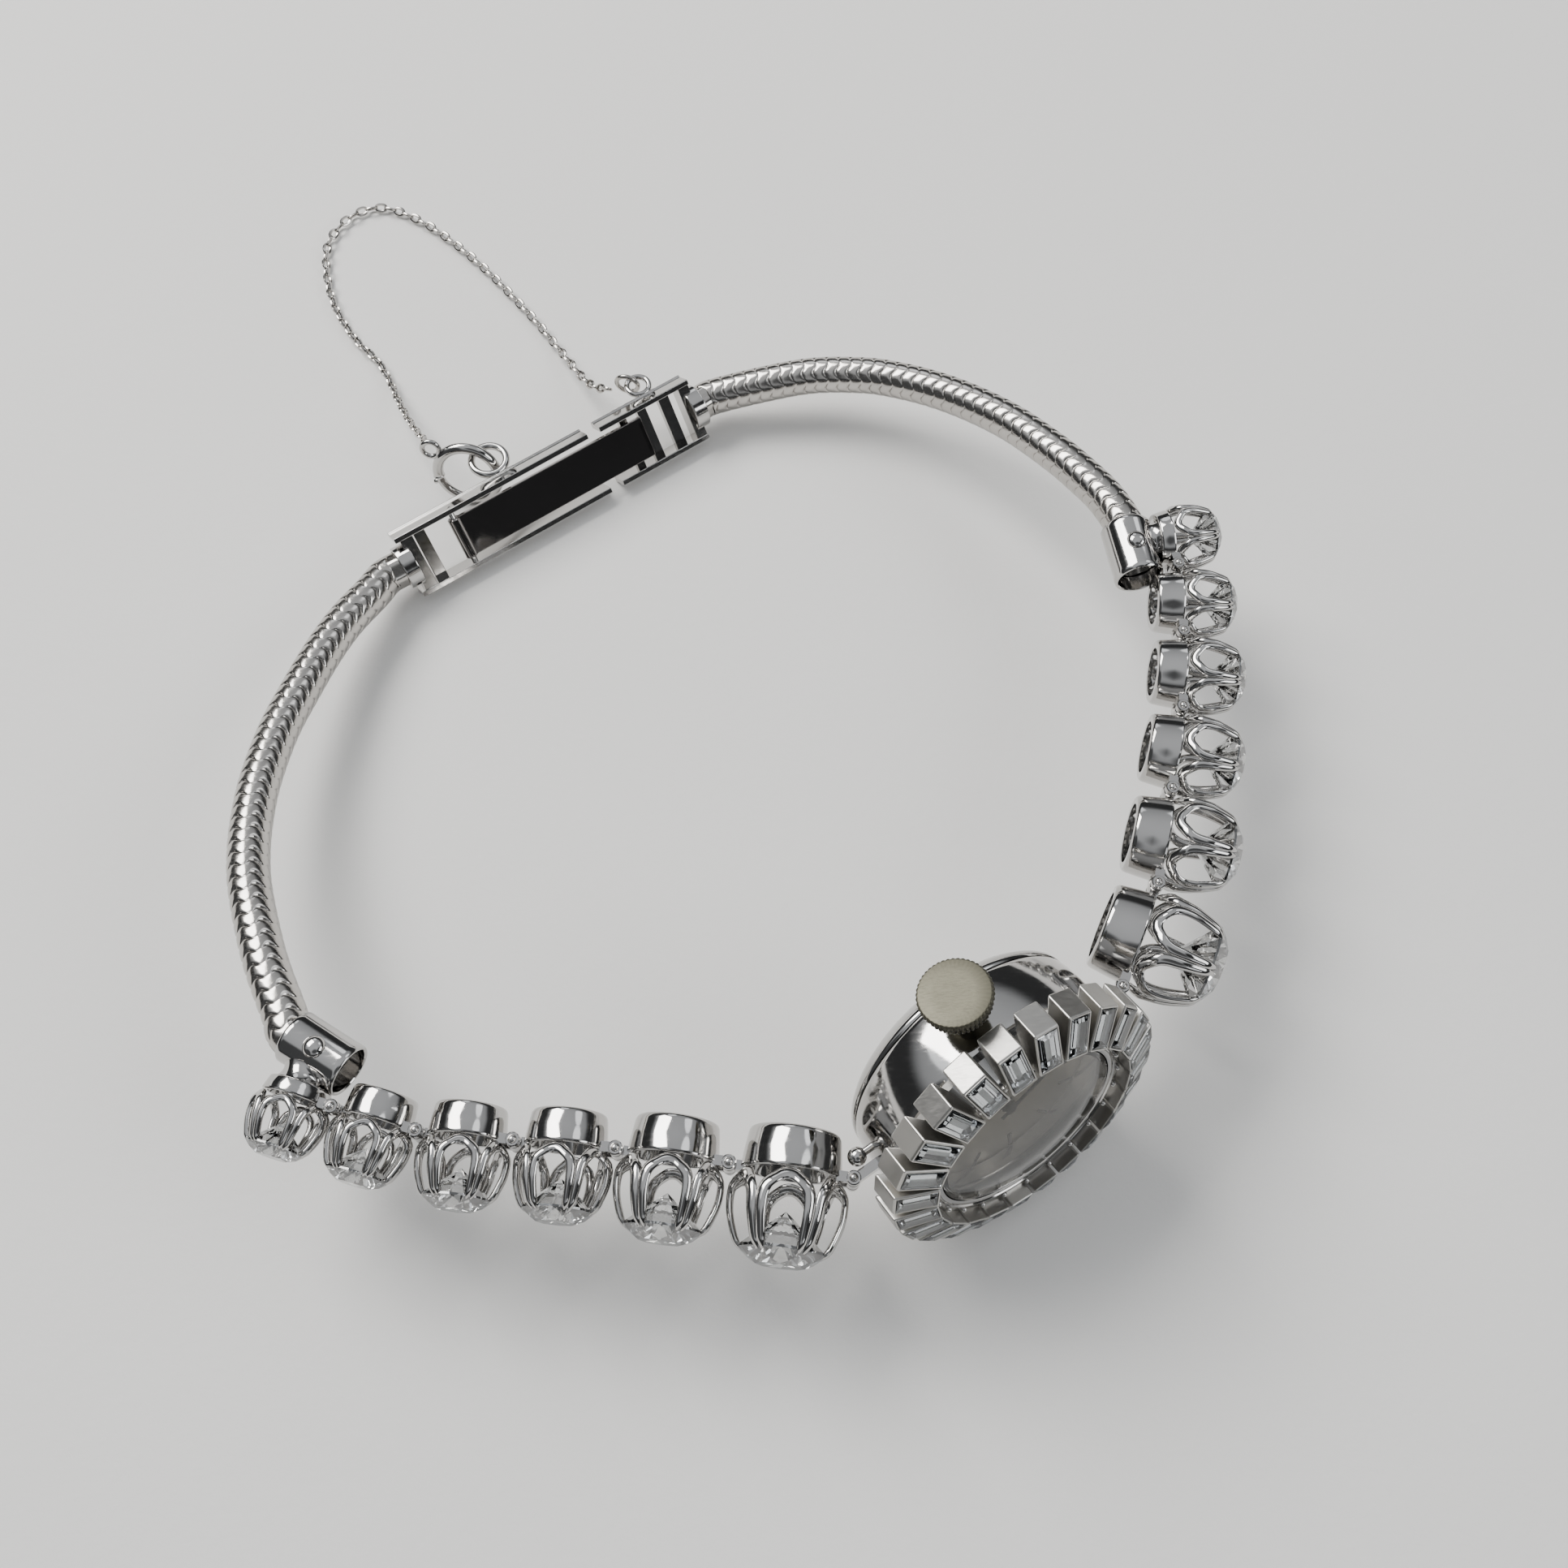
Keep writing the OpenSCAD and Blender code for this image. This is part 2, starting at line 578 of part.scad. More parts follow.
// Safety chain with its jump ring and spring ring.
jump_d = 1.8;
jump_wire_d = 0.32;
jump_turn = -12;
loop_mid = clasp_point([loop_x, rail_depth / 2 + (loop_d / 2 - 0.1) * cos(clasp_lean),
                        clasp_w / 2 + (loop_d / 2 - 0.1) * sin(clasp_lean)]);
jump_pos = loop_mid - (jump_d - jump_wire_d) / 2 * plan(jump_turn);
module jump_ring() {
    color("silver") translate(jump_pos) rotate([90, 0, jump_turn]) ring(jump_d, jump_wire_d);
}
module safety_chain() {
    color("silver") {
        s = lengths(dense(safety_route));
        span = s[len(s) - 1];
        count = round(span / (2.2 * safety_d));
        tube(safety_route, [for (i = [0:count]) [span * i / count, safety_d / 2]], 8);
    }
}
// The spring ring hangs in the keeper and touches the table below.
ring_r = (spring_ring_d - spring_wire_d) / 2;
ring_turn = [73, 2.5, -6];
ring_hang = 45;
keeper_mid = clasp_point([keeper_x, rail_depth / 2 + (keeper_d / 2 - 0.1) * cos(clasp_lean),
                          clasp_w / 2 + (keeper_d / 2 - 0.1) * sin(clasp_lean)]);
spring_pos = [keeper_mid[0] - 1.57, keeper_mid[1] - 0.17, 0.957 * ring_r + spring_wire_d / 2 + 0.01];
trigger_from = 195;
trigger_arc = 70;
trigger_gap = 3;
eye_d = 1.5;
eye_wire_d = 0.36;
eye_at = 145;
module at_spring_ring() {
    translate(spring_pos) rotate(ring_turn) children();
}
module spring_ring() {
    color("silver") at_spring_ring() {
        difference() {
            ring(spring_ring_d, spring_wire_d);
            rotate([0, 0, trigger_from]) rotate_extrude(angle = trigger_arc, $fn = 48)
                translate([ring_r, 0]) circle(d = spring_wire_d + 0.2, $fn = 16);
        }
        rotate([0, 0, eye_at]) translate([(spring_ring_d + eye_d) / 2 - 0.25, 0, 0])
            ring(eye_d, eye_wire_d);
    }
}
module spring_ring_trigger() {
    color("gainsboro") at_spring_ring() rotate([0, 0, trigger_from + trigger_gap / 2])
        rotate_extrude(angle = trigger_arc - trigger_gap, $fn = 48)
            translate([ring_r, 0]) circle(d = spring_wire_d - 0.14, $fn = 16);
}

// Watch case.
stem_z = -0.95;
plate_top = 0.42;
plate_bottom = -0.48;
collar_r = 0.75;
module case_band() {
    inner_r = case_r - case_wall;
    color("silver") {
        at_head() difference() {
            union() {
                rotate_extrude($fn = 96)
                    polygon([[inner_r, band_bottom], [case_r - 0.15, band_bottom],
                             [case_r, band_bottom + 0.25], [case_r + 0.1, band_bottom + band_depth / 2],
                             [case_r, band_top], [inner_r, band_top], [inner_r, plate_bottom],
                             [inner_r - 0.3, plate_bottom], [inner_r - 0.3, plate_bottom - 0.7],
                             [inner_r, plate_bottom - 1]]);
                rotate(stem_turn) translate([0, case_r - 0.2, stem_z]) rotate([-90, 0, 0])
                    cylinder(r = collar_r, h = knob_reach - case_r, $fn = 32);
            }
            rotate(stem_turn) translate([0, 0, stem_z]) rotate([-90, 0, 0])
                cylinder(r = stem_r + arbor_gap, h = case_r + 4, $fn = 24);
        }
        left_lug();
        right_lug();
        ball_stud();
    }
}
// The left lug is a barrel between the last link's outer barrels. The right
// one is the part of a barrel that lets the last link's pin out.
lug_arm = lug_reach - case_r;
module lug(k) {
    translate([k * lug_reach, hinge_back, 0])
        cylinder(r = barrel_r, h = barrel_h, center = true, $fn = 32);
    translate([k * (lug_reach - lug_arm / 2 - 0.1), hinge_back, 0])
        cube([lug_arm + 0.2, 0.5, barrel_h], center = true);
}
module lug_room() {
    // The arm is cut back to the band's inside.
    at_head() translate([0, 0, band_bottom]) cylinder(r = case_r - case_wall / 2, h = band_depth, $fn = 96);
}
module left_lug() {
    difference() {
        at_head_upright() lug(-1);
        lug_room();
        at_head_upright() translate([-lug_reach, hinge_back, 0])
            cylinder(r = pin_r + pin_gap, h = 3, center = true, $fn = 32);
    }
}
// The pin leaves the right lug in directions between these two in the plan.
pin_ways = [-26, 128];
module right_lug() {
    c = pin_r + pin_gap;
    low = pin_ways[0];
    high = pin_ways[1];
    difference() {
        at_head_upright() lug(1);
        lug_room();
        at_head_upright() translate([lug_reach, hinge_back, 0]) {
            cylinder(r = c, h = 3, center = true, $fn = 32);
            rotate([0, 0, -head_turn]) linear_extrude(4, center = true)
                polygon([
                    for (v = [[0, 0, 0, 0], [c, low - 90, 0, 0], [c, low - 90, 4, low],
                              [0, 0, 6, (low + high) / 2], [c, high + 90, 4, high], [c, high + 90, 0, 0]])
                        [v[0] * cos(v[1]) + v[2] * cos(v[3]), v[0] * sin(v[1]) + v[2] * sin(v[3])]
                ]);
        }
    }
}
// A small ball on a stalk behind the left lug.
ball_r = 0.5;
ball_at = [-8.08, 1.24, 1.09];
module ball_stud() {
    difference() {
        at_head_upright() translate(ball_at) {
            rotate_extrude($fn = 32) intersection() {
                circle(r = ball_r, $fn = 48);
                translate([0, -1]) square([1, 2]);
            }
            rotate([0, 90, 0]) cylinder(r = 0.22, h = 1.4, $fn = 24);
        }
        lug_room();
    }
}
module case_back() {
    inset = 0.9;
    flat_r = back_flat_d / 2;
    color("silver") at_head() rotate_extrude($fn = 96)
        polygon([[0, back_bottom], [flat_r, back_bottom], [flat_r + 1.4, back_bottom + 0.25],
                 [case_r - 0.7, back_bottom + 0.8], [case_r - 0.15, band_bottom - 0.5],
                 [case_r - 0.1, band_bottom], [case_r - case_wall - 0.05, band_bottom],
                 [case_r - case_wall - 0.05, band_bottom - 0.25], [flat_r, back_bottom + 0.4],
                 [0, back_bottom + 0.4]]);
}

// Bezel. A plain ring round the crystal carries a wreath of boxes that slope
// outwards, and each box holds one baguette stone in its front.
bezel_top = 2.6;
box_in = 6.15;
box_rise = 0.85;
box_turn = 3.5;
stone_depth = 0.5;
crystal_low = 1.7;
box_front = box_low + box_depth;
box_slope = atan2(box_rise, bezel_r - box_in);
box_len = (bezel_r - box_in) / cos(box_slope);
module at_box(i) {
    rotate(360 / baguettes * i + box_turn) children();
}
module at_box_front(i) {
    // X runs down the slope from the box's inner end and Z stands on its front.
    at_box(i) translate([box_in, 0, box_front + box_rise]) rotate([0, box_slope, 0]) children();
}
module bezel() {
    color("silver") at_head() difference() {
        union() {
            rotate_extrude($fn = 96)
                polygon([[opening_r - 0.3, band_top], [case_r, band_top], [case_r + 0.2, band_top + 0.5],
                         [box_in + 0.3, bezel_top - 0.3], [box_in - 0.25, bezel_top],
                         [opening_r + 0.15, bezel_top], [opening_r, bezel_top - 0.15],
                         [opening_r, crystal_low], [opening_r - 0.3, crystal_low]]);
            for (i = [0 : baguettes - 1]) at_box(i) rotate([90, 0, 0])
                linear_extrude(box_w, center = true)
                    polygon([[box_in, 1.9], [bezel_r, box_low], [bezel_r, box_front],
                             [box_in, box_front + box_rise]]);
        }
        // The boxes stand clear of the case band and taper towards the crystal.
        translate([0, 0, -9 + band_top]) cylinder(r = case_r + 0.14, h = 9, $fn = 96);
        for (i = [0 : baguettes - 1]) at_box(i + 0.5)
            translate([box_in - 0.1, -0.11, bezel_top + 0.02]) cube([3, 0.22, 3]);
        for (i = [0 : baguettes - 1]) at_box_front(i)
            translate([box_wall, -box_w / 2 + box_wall, -stone_depth])
                cube([box_len - 2 * box_wall, box_w - 2 * box_wall, 2 * stone_depth]);
    }
}
module bezel_baguettes() {
    fit = 0.01;
    color("lightcyan") at_head() for (i = [0 : baguettes - 1]) at_box_front(i)
        translate([box_wall + fit, -box_w / 2 + box_wall + fit, -stone_depth])
            cube([box_len - 2 * box_wall - 2 * fit, box_w - 2 * box_wall - 2 * fit, stone_depth + 0.12]);
}
module crystal() {
    rim = bezel_top - 0.05 - crystal_low;
    wall = 0.4;
    crystal_r = opening_r - 0.02;
    big = (crystal_r * crystal_r + dome_h * dome_h) / (2 * dome_h);
    color("white", 0.35) at_head() translate([0, 0, crystal_low]) rotate_extrude($fn = 96)
        difference() {
            union() {
                square([crystal_r, rim]);
                intersection() {
                    translate([0, rim + dome_h - big]) circle(r = big, $fn = 240);
                    translate([0, rim]) square([crystal_r, 2 * dome_h]);
                }
            }
            intersection() {
                translate([0, rim + dome_h - big]) circle(r = big - wall, $fn = 240);
                translate([-1, -1]) square([crystal_r - wall + 1, 5]);
            }
        }
}

// Dial and hands.
dial_top = 0.8;
dial_t = dial_top - plate_top;
hour_z = dial_top + 0.15;
minute_z = dial_top + 0.4;
hand_t = 0.1;
pipe_low = plate_top + 0.02;
module dial() {
    color("lightgray") at_head() difference() {
        union() {
            translate([0, 0, dial_top - dial_t])
                cylinder(r = case_r - case_wall - 0.15, h = dial_t, $fn = 96);
            for (h = [0:11]) rotate(30 * h)
                translate([opening_r - 1.6, -0.14, dial_top]) cube([1.1, 0.28, 0.08]);
        }
        translate([0, 0, -1]) cylinder(r = 0.36, h = 4, $fn = 32);
    }
}
module hand(length, wide, z, hub, bore) {
    translate([0, 0, z]) difference() {
        union() {
            cylinder(r = hub, h = hand_t, $fn = 32);
            linear_extrude(hand_t)
                polygon([[-wide / 2, -0.7], [wide / 2, -0.7], [wide * 0.7, length * 0.5],
                         [0, length], [-wide * 0.7, length * 0.5]]);
        }
        translate([0, 0, -1]) cylinder(r = bore, h = 3, $fn = 32);
    }
}
cannon_r = 0.16;
hour_pipe_r = 0.3;
hour_at = -52;
minute_at = 62;
module hour_hand() {
    color("dimgray") at_head() {
        rotate(-hour_at) hand(2.6, 0.24, hour_z, 0.42, hour_pipe_r - 0.08);
        difference() {
            translate([0, 0, pipe_low]) cylinder(r = hour_pipe_r, h = hour_z + hand_t - pipe_low, $fn = 32);
            translate([0, 0, -1]) cylinder(r = cannon_r + 0.04, h = 5, $fn = 32);
        }
    }
}
module minute_hand() {
    color("dimgray") at_head() {
        rotate(-minute_at) hand(4.0, 0.2, minute_z, 0.36, cannon_r - 0.02);
        translate([0, 0, pipe_low]) cylinder(r = cannon_r, h = minute_z + hand_t + 0.08 - pipe_low, $fn = 32);
    }
}

// Winding crown, stem and setting lever.
module along_stem(y) {
    at_head() rotate(stem_turn) translate([0, y, stem_z]) rotate([-90, 0, 0]) children();
}
module winding_crown() {
    color("tan") along_stem(knob_reach) difference() {
        union() {
            cylinder(d = knob_d - 0.16, h = knob_t, $fn = 64);
            for (i = [0 : knob_notches - 1]) rotate(360 / knob_notches * i)
                translate([knob_d / 2 - 0.25, -0.09, 0.12]) cube([0.25, 0.18, knob_t - 0.24]);
        }
        translate([0, 0, -1]) cylinder(r = stem_r + 0.005, h = 1.9, $fn = 24);
    }
}
stem_in = 4.1;
module winding_stem() {
    color("silver") along_stem(stem_in) difference() {
        cylinder(r = stem_r, h = knob_reach + 0.88 - stem_in, $fn = 24);
        translate([0, 0, 0.5]) difference() {
            cylinder(r = 1, h = 0.3, $fn = 24);
            translate([0, 0, -1]) cylinder(r = stem_r - 0.12, h = 3, $fn = 24);
        }
    }
}
module setting_lever() {
    color("silver") at_head() rotate(stem_turn) {
        translate([stem_r - 0.1, stem_in + 0.53, stem_z - 0.12]) cube([1.2, 0.24, 0.24]);
        translate([stem_r + 0.5, stem_in - 0.3, stem_z - 0.12])
            cube([0.6, 1.17, plate_bottom - 0.03 - stem_z + 0.12]);
    }
}

// Movement. The wheels turn on arbors between the main plate and the bridge.
barrel_at = [-2.2, 2.0];
third_at = [2.28, 0.3];
fourth_at = [1.78, -1.58];
escape_at = [0.6, -2.75];
fork_at = [-0.75, -3.35];
balance_at = [-2.9, -2.4];
pillars_at = [[4.4, 3.0], [-5.4, 0.5], [4.3, -3.3]];
bridge_top = -1.72;
bridge_bottom = -2.12;
arbors = [barrel_at, [0, 0], third_at, fourth_at, escape_at, fork_at, balance_at];
module arbor_holes(z, h) {
    for (p = arbors) translate([p[0], p[1], z]) cylinder(r = arbor_r + arbor_gap, h = h, $fn = 24);
}
module movement_plate() {
    color("goldenrod") at_head() difference() {
        union() {
            translate([0, 0, plate_bottom]) cylinder(d = plate_d, h = plate_top - plate_bottom, $fn = 96);
            for (p = pillars_at) translate([p[0], p[1], bridge_top])
                cylinder(r = 0.4, h = plate_bottom - bridge_top, $fn = 24);
        }
        arbor_holes(plate_bottom - 1, 4);
    }
}
module train_bridge() {
    color("goldenrod") at_head() difference() {
        translate([0, 0, bridge_bottom]) cylinder(d = plate_d - 1.5, h = bridge_top - bridge_bottom, $fn = 96);
        arbor_holes(bridge_bottom - 1, 3);
        translate([balance_at[0], balance_at[1], bridge_bottom - 1]) difference() {
            cylinder(r = balance_d / 2 + 0.3, h = 3, $fn = 48);
            translate([-0.5, -0.5, 0]) cube([1, 6, 3]);
            cylinder(r = 0.5, h = 3, $fn = 24);
        }
    }
}
arbor_low = bridge_bottom + 0.05;
arbor_high = plate_top - 0.3;
module arbor(p) {
    translate([p[0], p[1], arbor_low]) cylinder(r = arbor_r, h = arbor_high - arbor_low, $fn = 24);
}
module wheel(p, d, z, spokes, pinion_r, pinion_z, pinion_h) {
    arbor(p);
    translate([p[0], p[1], z]) {
        tube_piece_up(d / 2, d / 2 - 0.22, wheel_t);
        cylinder(r = 0.26, h = wheel_t, $fn = 24);
        for (k = [0 : spokes - 1]) rotate(360 / spokes * k)
            translate([0, -0.09, 0]) cube([d / 2 - 0.1, 0.18, wheel_t]);
    }
    if (pinion_r > 0) translate([p[0], p[1], pinion_z]) cylinder(r = pinion_r, h = pinion_h, $fn = 24);
}
module tube_piece_up(r, bore, h) {
    difference() {
        cylinder(r = r, h = h, $fn = 64);
        translate([0, 0, -1]) cylinder(r = bore, h = h + 2, $fn = 64);
    }
}
module mainspring_barrel() {
    color("goldenrod") at_head() {
        arbor(barrel_at);
        translate([barrel_at[0], barrel_at[1], -1.2]) cylinder(d = spring_barrel_d, h = 0.62, $fn = 64);
    }
}
module centre_wheel() {
    color("gold") at_head() wheel([0, 0], centre_wheel_d, -1.5, 4, 0.48, -1.2, 0.6);
}
module third_wheel() {
    color("gold") at_head() wheel(third_at, third_wheel_d, -0.92, 4, 0.34, -1.55, 0.3);
}
module fourth_wheel() {
    color("gold") at_head() wheel(fourth_at, fourth_wheel_d, -1.22, 4, 0.28, -0.95, 0.25);
}
module escape_wheel() {
    color("gold") at_head() wheel(escape_at, escape_wheel_d, -0.9, 4, 0.24, -1.25, 0.2);
}
module pallet_fork() {
    to_balance = atan2(balance_at[1] - fork_at[1], balance_at[0] - fork_at[0]);
    color("silver") at_head() {
        arbor(fork_at);
        translate([fork_at[0], fork_at[1], -0.9]) rotate(to_balance) {
            cylinder(r = 0.24, h = wheel_t, $fn = 24);
            translate([0, -0.1, 0]) cube([1.5, 0.2, wheel_t]);
            translate([-0.1, -0.5, 0]) cube([0.2, 1.0, wheel_t]);
        }
    }
}
module balance_wheel() {
    color("gold") at_head() wheel(balance_at, balance_d, -1.6, 2, 0.34, -1.3, 0.2);
}

clasp_left_frame();
clasp_right_frame();
clasp_plate();
clasp_hinge_pin();
jump_ring();
safety_chain();
spring_ring();
spring_ring_trigger();
for (side = rows) {
    color("silver") snake_chain(side);
    color("silver") hood(side);
    color("gainsboro") rivet(side);
    for (i = [1:6]) {
        color("silver") collet(side, i - 1);
        color("lightcyan") brilliant(side, i - 1);
    }
}
case_band();
case_back();
bezel();
bezel_baguettes();
crystal();
dial();
hour_hand();
minute_hand();
winding_crown();
winding_stem();
setting_lever();
movement_plate();
train_bridge();
mainspring_barrel();
centre_wheel();
third_wheel();
fourth_wheel();
escape_wheel();
pallet_fork();
balance_wheel();
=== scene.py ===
"""A lady's cocktail watch on its closed bracelet, lying on its edge on a pale table.

Each section makes one piece or a group of like pieces. Sizes are in millimetres, and
a piece is put into metres when it is made.
"""

import bmesh
import bpy
import numpy as np
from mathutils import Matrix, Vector


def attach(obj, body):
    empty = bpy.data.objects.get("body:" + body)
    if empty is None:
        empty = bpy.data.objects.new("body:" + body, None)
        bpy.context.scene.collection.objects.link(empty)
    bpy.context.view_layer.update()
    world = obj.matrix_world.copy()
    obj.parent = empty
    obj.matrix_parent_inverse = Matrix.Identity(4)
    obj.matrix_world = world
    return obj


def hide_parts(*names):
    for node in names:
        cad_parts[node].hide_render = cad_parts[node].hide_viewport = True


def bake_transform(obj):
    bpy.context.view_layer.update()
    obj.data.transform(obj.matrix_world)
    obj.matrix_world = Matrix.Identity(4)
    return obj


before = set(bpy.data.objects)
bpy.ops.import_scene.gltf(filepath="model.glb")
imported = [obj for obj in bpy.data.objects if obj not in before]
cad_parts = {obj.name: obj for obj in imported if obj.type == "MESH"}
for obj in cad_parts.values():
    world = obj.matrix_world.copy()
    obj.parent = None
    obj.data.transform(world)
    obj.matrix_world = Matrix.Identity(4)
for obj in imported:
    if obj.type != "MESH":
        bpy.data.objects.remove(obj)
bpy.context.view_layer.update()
scene = bpy.context.scene


# Camera. The photograph was taken by hand from above and a little in front, from
# about nine centimetres, so near parts look larger than far ones.
camera = bpy.data.cameras.new("camera")
camera.lens = 35.03
camera.sensor_width = 36.0
camera.clip_start = 0.001
eye = bpy.data.objects.new("camera", camera)
eye.location = (0.00245, -0.03886, 0.08716)
eye.rotation_euler = (np.radians(24.0), 0.0, 0.0)
scene.collection.objects.link(eye)
scene.camera = eye


# Table. A wide sheet of pale drawing paper with a fine tooth, lit by a large soft
# window from behind on the left and faintly from the right.
def put(tree, kind, values=None, **settings):
    """A node of that kind, with its settings made and each named input set or linked."""
    made = tree.nodes.new(kind)
    for key, value in settings.items():
        setattr(made, key, value)
    for key, value in (values or {}).items():
        if isinstance(value, bpy.types.NodeSocket):
            tree.links.new(value, made.inputs[key])
        else:
            made.inputs[key].default_value = value
    return made


def fresh_material(name):
    """An empty material of that name, with its node tree."""
    made = bpy.data.materials.new(name)
    made.use_nodes = True
    made.node_tree.nodes.clear()
    return made, made.node_tree


def noise(tree, on, scale, detail, rough=0.5):
    """The value of a noise at the vector on."""
    return put(tree, "ShaderNodeTexNoise", {
        "Vector": on, "Scale": scale, "Detail": detail, "Roughness": rough}).outputs["Fac"]


def ramp(tree, value, low, high, to_low=0.0, to_high=1.0, kind="LINEAR"):
    """The range from low to high stretched to the range from to_low to to_high."""
    return put(tree, "ShaderNodeMapRange", {
        "Value": value, "From Min": low, "From Max": high, "To Min": to_low, "To Max": to_high},
        interpolation_type=kind).outputs[0]


def between(tree, factor, dark, light):
    """A colour between two tones (r, g, b)."""
    mix = put(tree, "ShaderNodeMix", {"Factor": factor, 6: dark + (1,), 7: light + (1,)}, data_type="RGBA")
    return mix.outputs[2]


def show(tree, inputs):
    """A principled surface with those inputs goes to the material's output."""
    surface = put(tree, "ShaderNodeBsdfPrincipled", inputs).outputs[0]
    put(tree, "ShaderNodeOutputMaterial", {"Surface": surface})


paper, tree = fresh_material("drawing_paper")
place_on = put(tree, "ShaderNodeTexCoord").outputs["Object"]
tooth = noise(tree, place_on, 1500.0, 6.0, 0.6)
cloud = noise(tree, place_on, 12.0, 2.0)
relief = put(tree, "ShaderNodeBump", {"Strength": 0.35, "Distance": 0.00008, "Height": tooth})
show(tree, {
    "Base Color": between(tree, cloud, (0.80, 0.79, 0.77), (0.84, 0.83, 0.81)), "Roughness": 0.82,
    "Specular IOR Level": 0.25, "Normal": relief.outputs["Normal"]})

table_mesh = bpy.data.meshes.new("table")
table_mesh.from_pydata([(-1, -1, 0), (1, -1, 0), (1, 1, 0), (-1, 1, 0)], [], [(0, 1, 2, 3)])
table_mesh.materials.append(paper)
table = bpy.data.objects.new("table", table_mesh)
scene.collection.objects.link(table)


def soft_box(name, place, target, size, power, tint):
    """A rectangular area light of that size in metres, turned to its target."""
    lamp = bpy.data.lights.new(name, "AREA")
    lamp.shape = "RECTANGLE"
    lamp.size, lamp.size_y = size
    lamp.energy = power
    lamp.color = tint
    holder = bpy.data.objects.new(name, lamp)
    holder.location = place
    holder.rotation_euler = Vector(np.subtract(target, place)).to_track_quat("-Z", "Y").to_euler()
    scene.collection.objects.link(holder)


soft_box("window", (-0.30, 0.26, 0.42), (0, 0, 0), (0.38, 0.28), 4.4, (1.0, 0.985, 0.96))
soft_box("wall", (0.42, -0.10, 0.30), (0, 0, 0), (0.30, 0.20), 0.8, (0.96, 0.98, 1.0))

# The room round the table: walls that brighten towards the ceiling and are dark near
# the floor, dark shapes in front and at both sides, and four bright windows, one of
# them with a dark bar.
room = bpy.data.worlds.new("room")
scene.world = room
room.use_nodes = True
tree = room.node_tree
tree.nodes.clear()
way = put(tree, "ShaderNodeTexCoord").outputs["Generated"]
height = put(tree, "ShaderNodeSeparateXYZ", {0: way}).outputs["Z"]


def patch(direction, edge, core):
    """1 in a round patch of the room about a direction, 0 outside: smoothstep(d . v, edge, core)."""
    middle = np.array(direction) / np.linalg.norm(direction)
    dot = put(tree, "ShaderNodeVectorMath", {0: way, 1: tuple(middle)}, operation="DOT_PRODUCT")
    return ramp(tree, dot.outputs["Value"], edge, core, kind="SMOOTHSTEP")


def blend_to(value, goal, mask):
    """value + mask (goal - value)"""
    return put(tree, "ShaderNodeMix", {"Factor": mask, 2: value, 3: goal}, data_type="FLOAT").outputs[0]


glow = ramp(tree, height, 0.0, 1.0, 0.15, 0.78)
glow = blend_to(glow, 0.05, ramp(tree, height, 0.52, 0.32, kind="SMOOTHSTEP"))
for direction, edge, core, goal in [
        ((0.1, -0.55, 0.82), 0.90, 0.98, 0.12),
        ((0.75, -0.3, 0.60), 0.88, 0.93, 0.04),
        ((-0.75, -0.55, 0.5), 0.88, 0.95, 0.10),
        ((-0.62, 0.25, 0.72), 0.972, 0.98, 1.8),
        ((-0.66, 0.34, 0.66), 0.9905, 0.9915, 0.05),
        ((0.55, 0.50, 0.72), 0.985, 0.99, 2.2),
        ((-0.10, 0.85, 0.52), 0.985, 0.99, 1.8),
        ((0.45, -0.75, 0.45), 0.99, 0.993, 1.6)]:
    glow = blend_to(glow, goal, patch(direction, edge, core))
air = put(tree, "ShaderNodeBackground", {"Color": (0.93, 0.96, 1.0, 1), "Strength": glow})
put(tree, "ShaderNodeOutputWorld", {"Surface": air.outputs[0]})


# Safety chain. A trace chain of oval wire links, each turned a quarter against the
# next, from the clasp's jump ring round to the eye of the spring ring.
def smooth_route(points, steps):
    """A curve through points: (2b + (c-a)u + (2a-5b+4c-d)u^2 + (3b-a-3c+d)u^3) / 2 from b to c."""
    p = np.array(points, float)
    p = np.concatenate([2 * p[:1] - p[1:2], p, 2 * p[-1:] - p[-2:-1]])
    u = np.linspace(0, 1, steps, endpoint=False)[None, :, None]
    a, b, c, d = (p[k:len(p) - 3 + k, None, :] for k in range(4))
    line = (2 * b + (c - a) * u + (2 * a - 5 * b + 4 * c - d) * u**2 + (3 * b - a - 3 * c + d) * u**3) / 2
    return np.concatenate([line.reshape(-1, p.shape[1]), p[-2:-1]])


def evenly(line, count):
    """The line's points at equal distances along it, and its length."""
    along = np.concatenate([[0], np.cumsum(np.linalg.norm(np.diff(line, axis=0), axis=1))])
    at = np.linspace(0, along[-1], count)
    return np.stack([np.interp(at, along, line[:, k]) for k in range(3)], 1), along[-1]


def unit(v):
    """v / |v|"""
    return v / np.linalg.norm(v, axis=-1, keepdims=True)


def sweep(route, section, up=(0, 0, 1), closed=False):
    """Rows of p + a side + b top for each (a, b) of the section, where side = t x up and top = side x t."""
    ahead = np.roll(route, -1, 0) - np.roll(route, 1, 0) if closed else np.gradient(route, axis=0)
    t = unit(ahead)
    side = unit(np.cross(t, np.broadcast_to(up, t.shape)))
    top = np.cross(side, t)
    section = np.broadcast_to(section, (len(route),) + np.shape(section)[-2:])
    return route[:, None] + section[..., :1] * side[:, None] + section[..., 1:] * top[:, None]


def skin(rows, along=False, capped=False):
    """Quads between neighbouring points of neighbouring rows, each row a closed loop.

    The last row joins the first when along is set, and capped rows close on their middles.
    """
    if capped:
        ends = [np.broadcast_to(rows[k].mean(0), rows[k].shape)[None] for k in (0, -1)]
        rows = np.concatenate([ends[0], rows, ends[1]])
    n, m = rows.shape[:2]
    index = np.arange(n * m).reshape(n, m)
    right = np.roll(index, -1, 1)
    quads = np.stack([index, right, np.roll(right, -1, 0), np.roll(index, -1, 0)], -1)
    quads = quads if along else quads[:-1]
    return rows.reshape(-1, 3), quads.reshape(-1, 4)


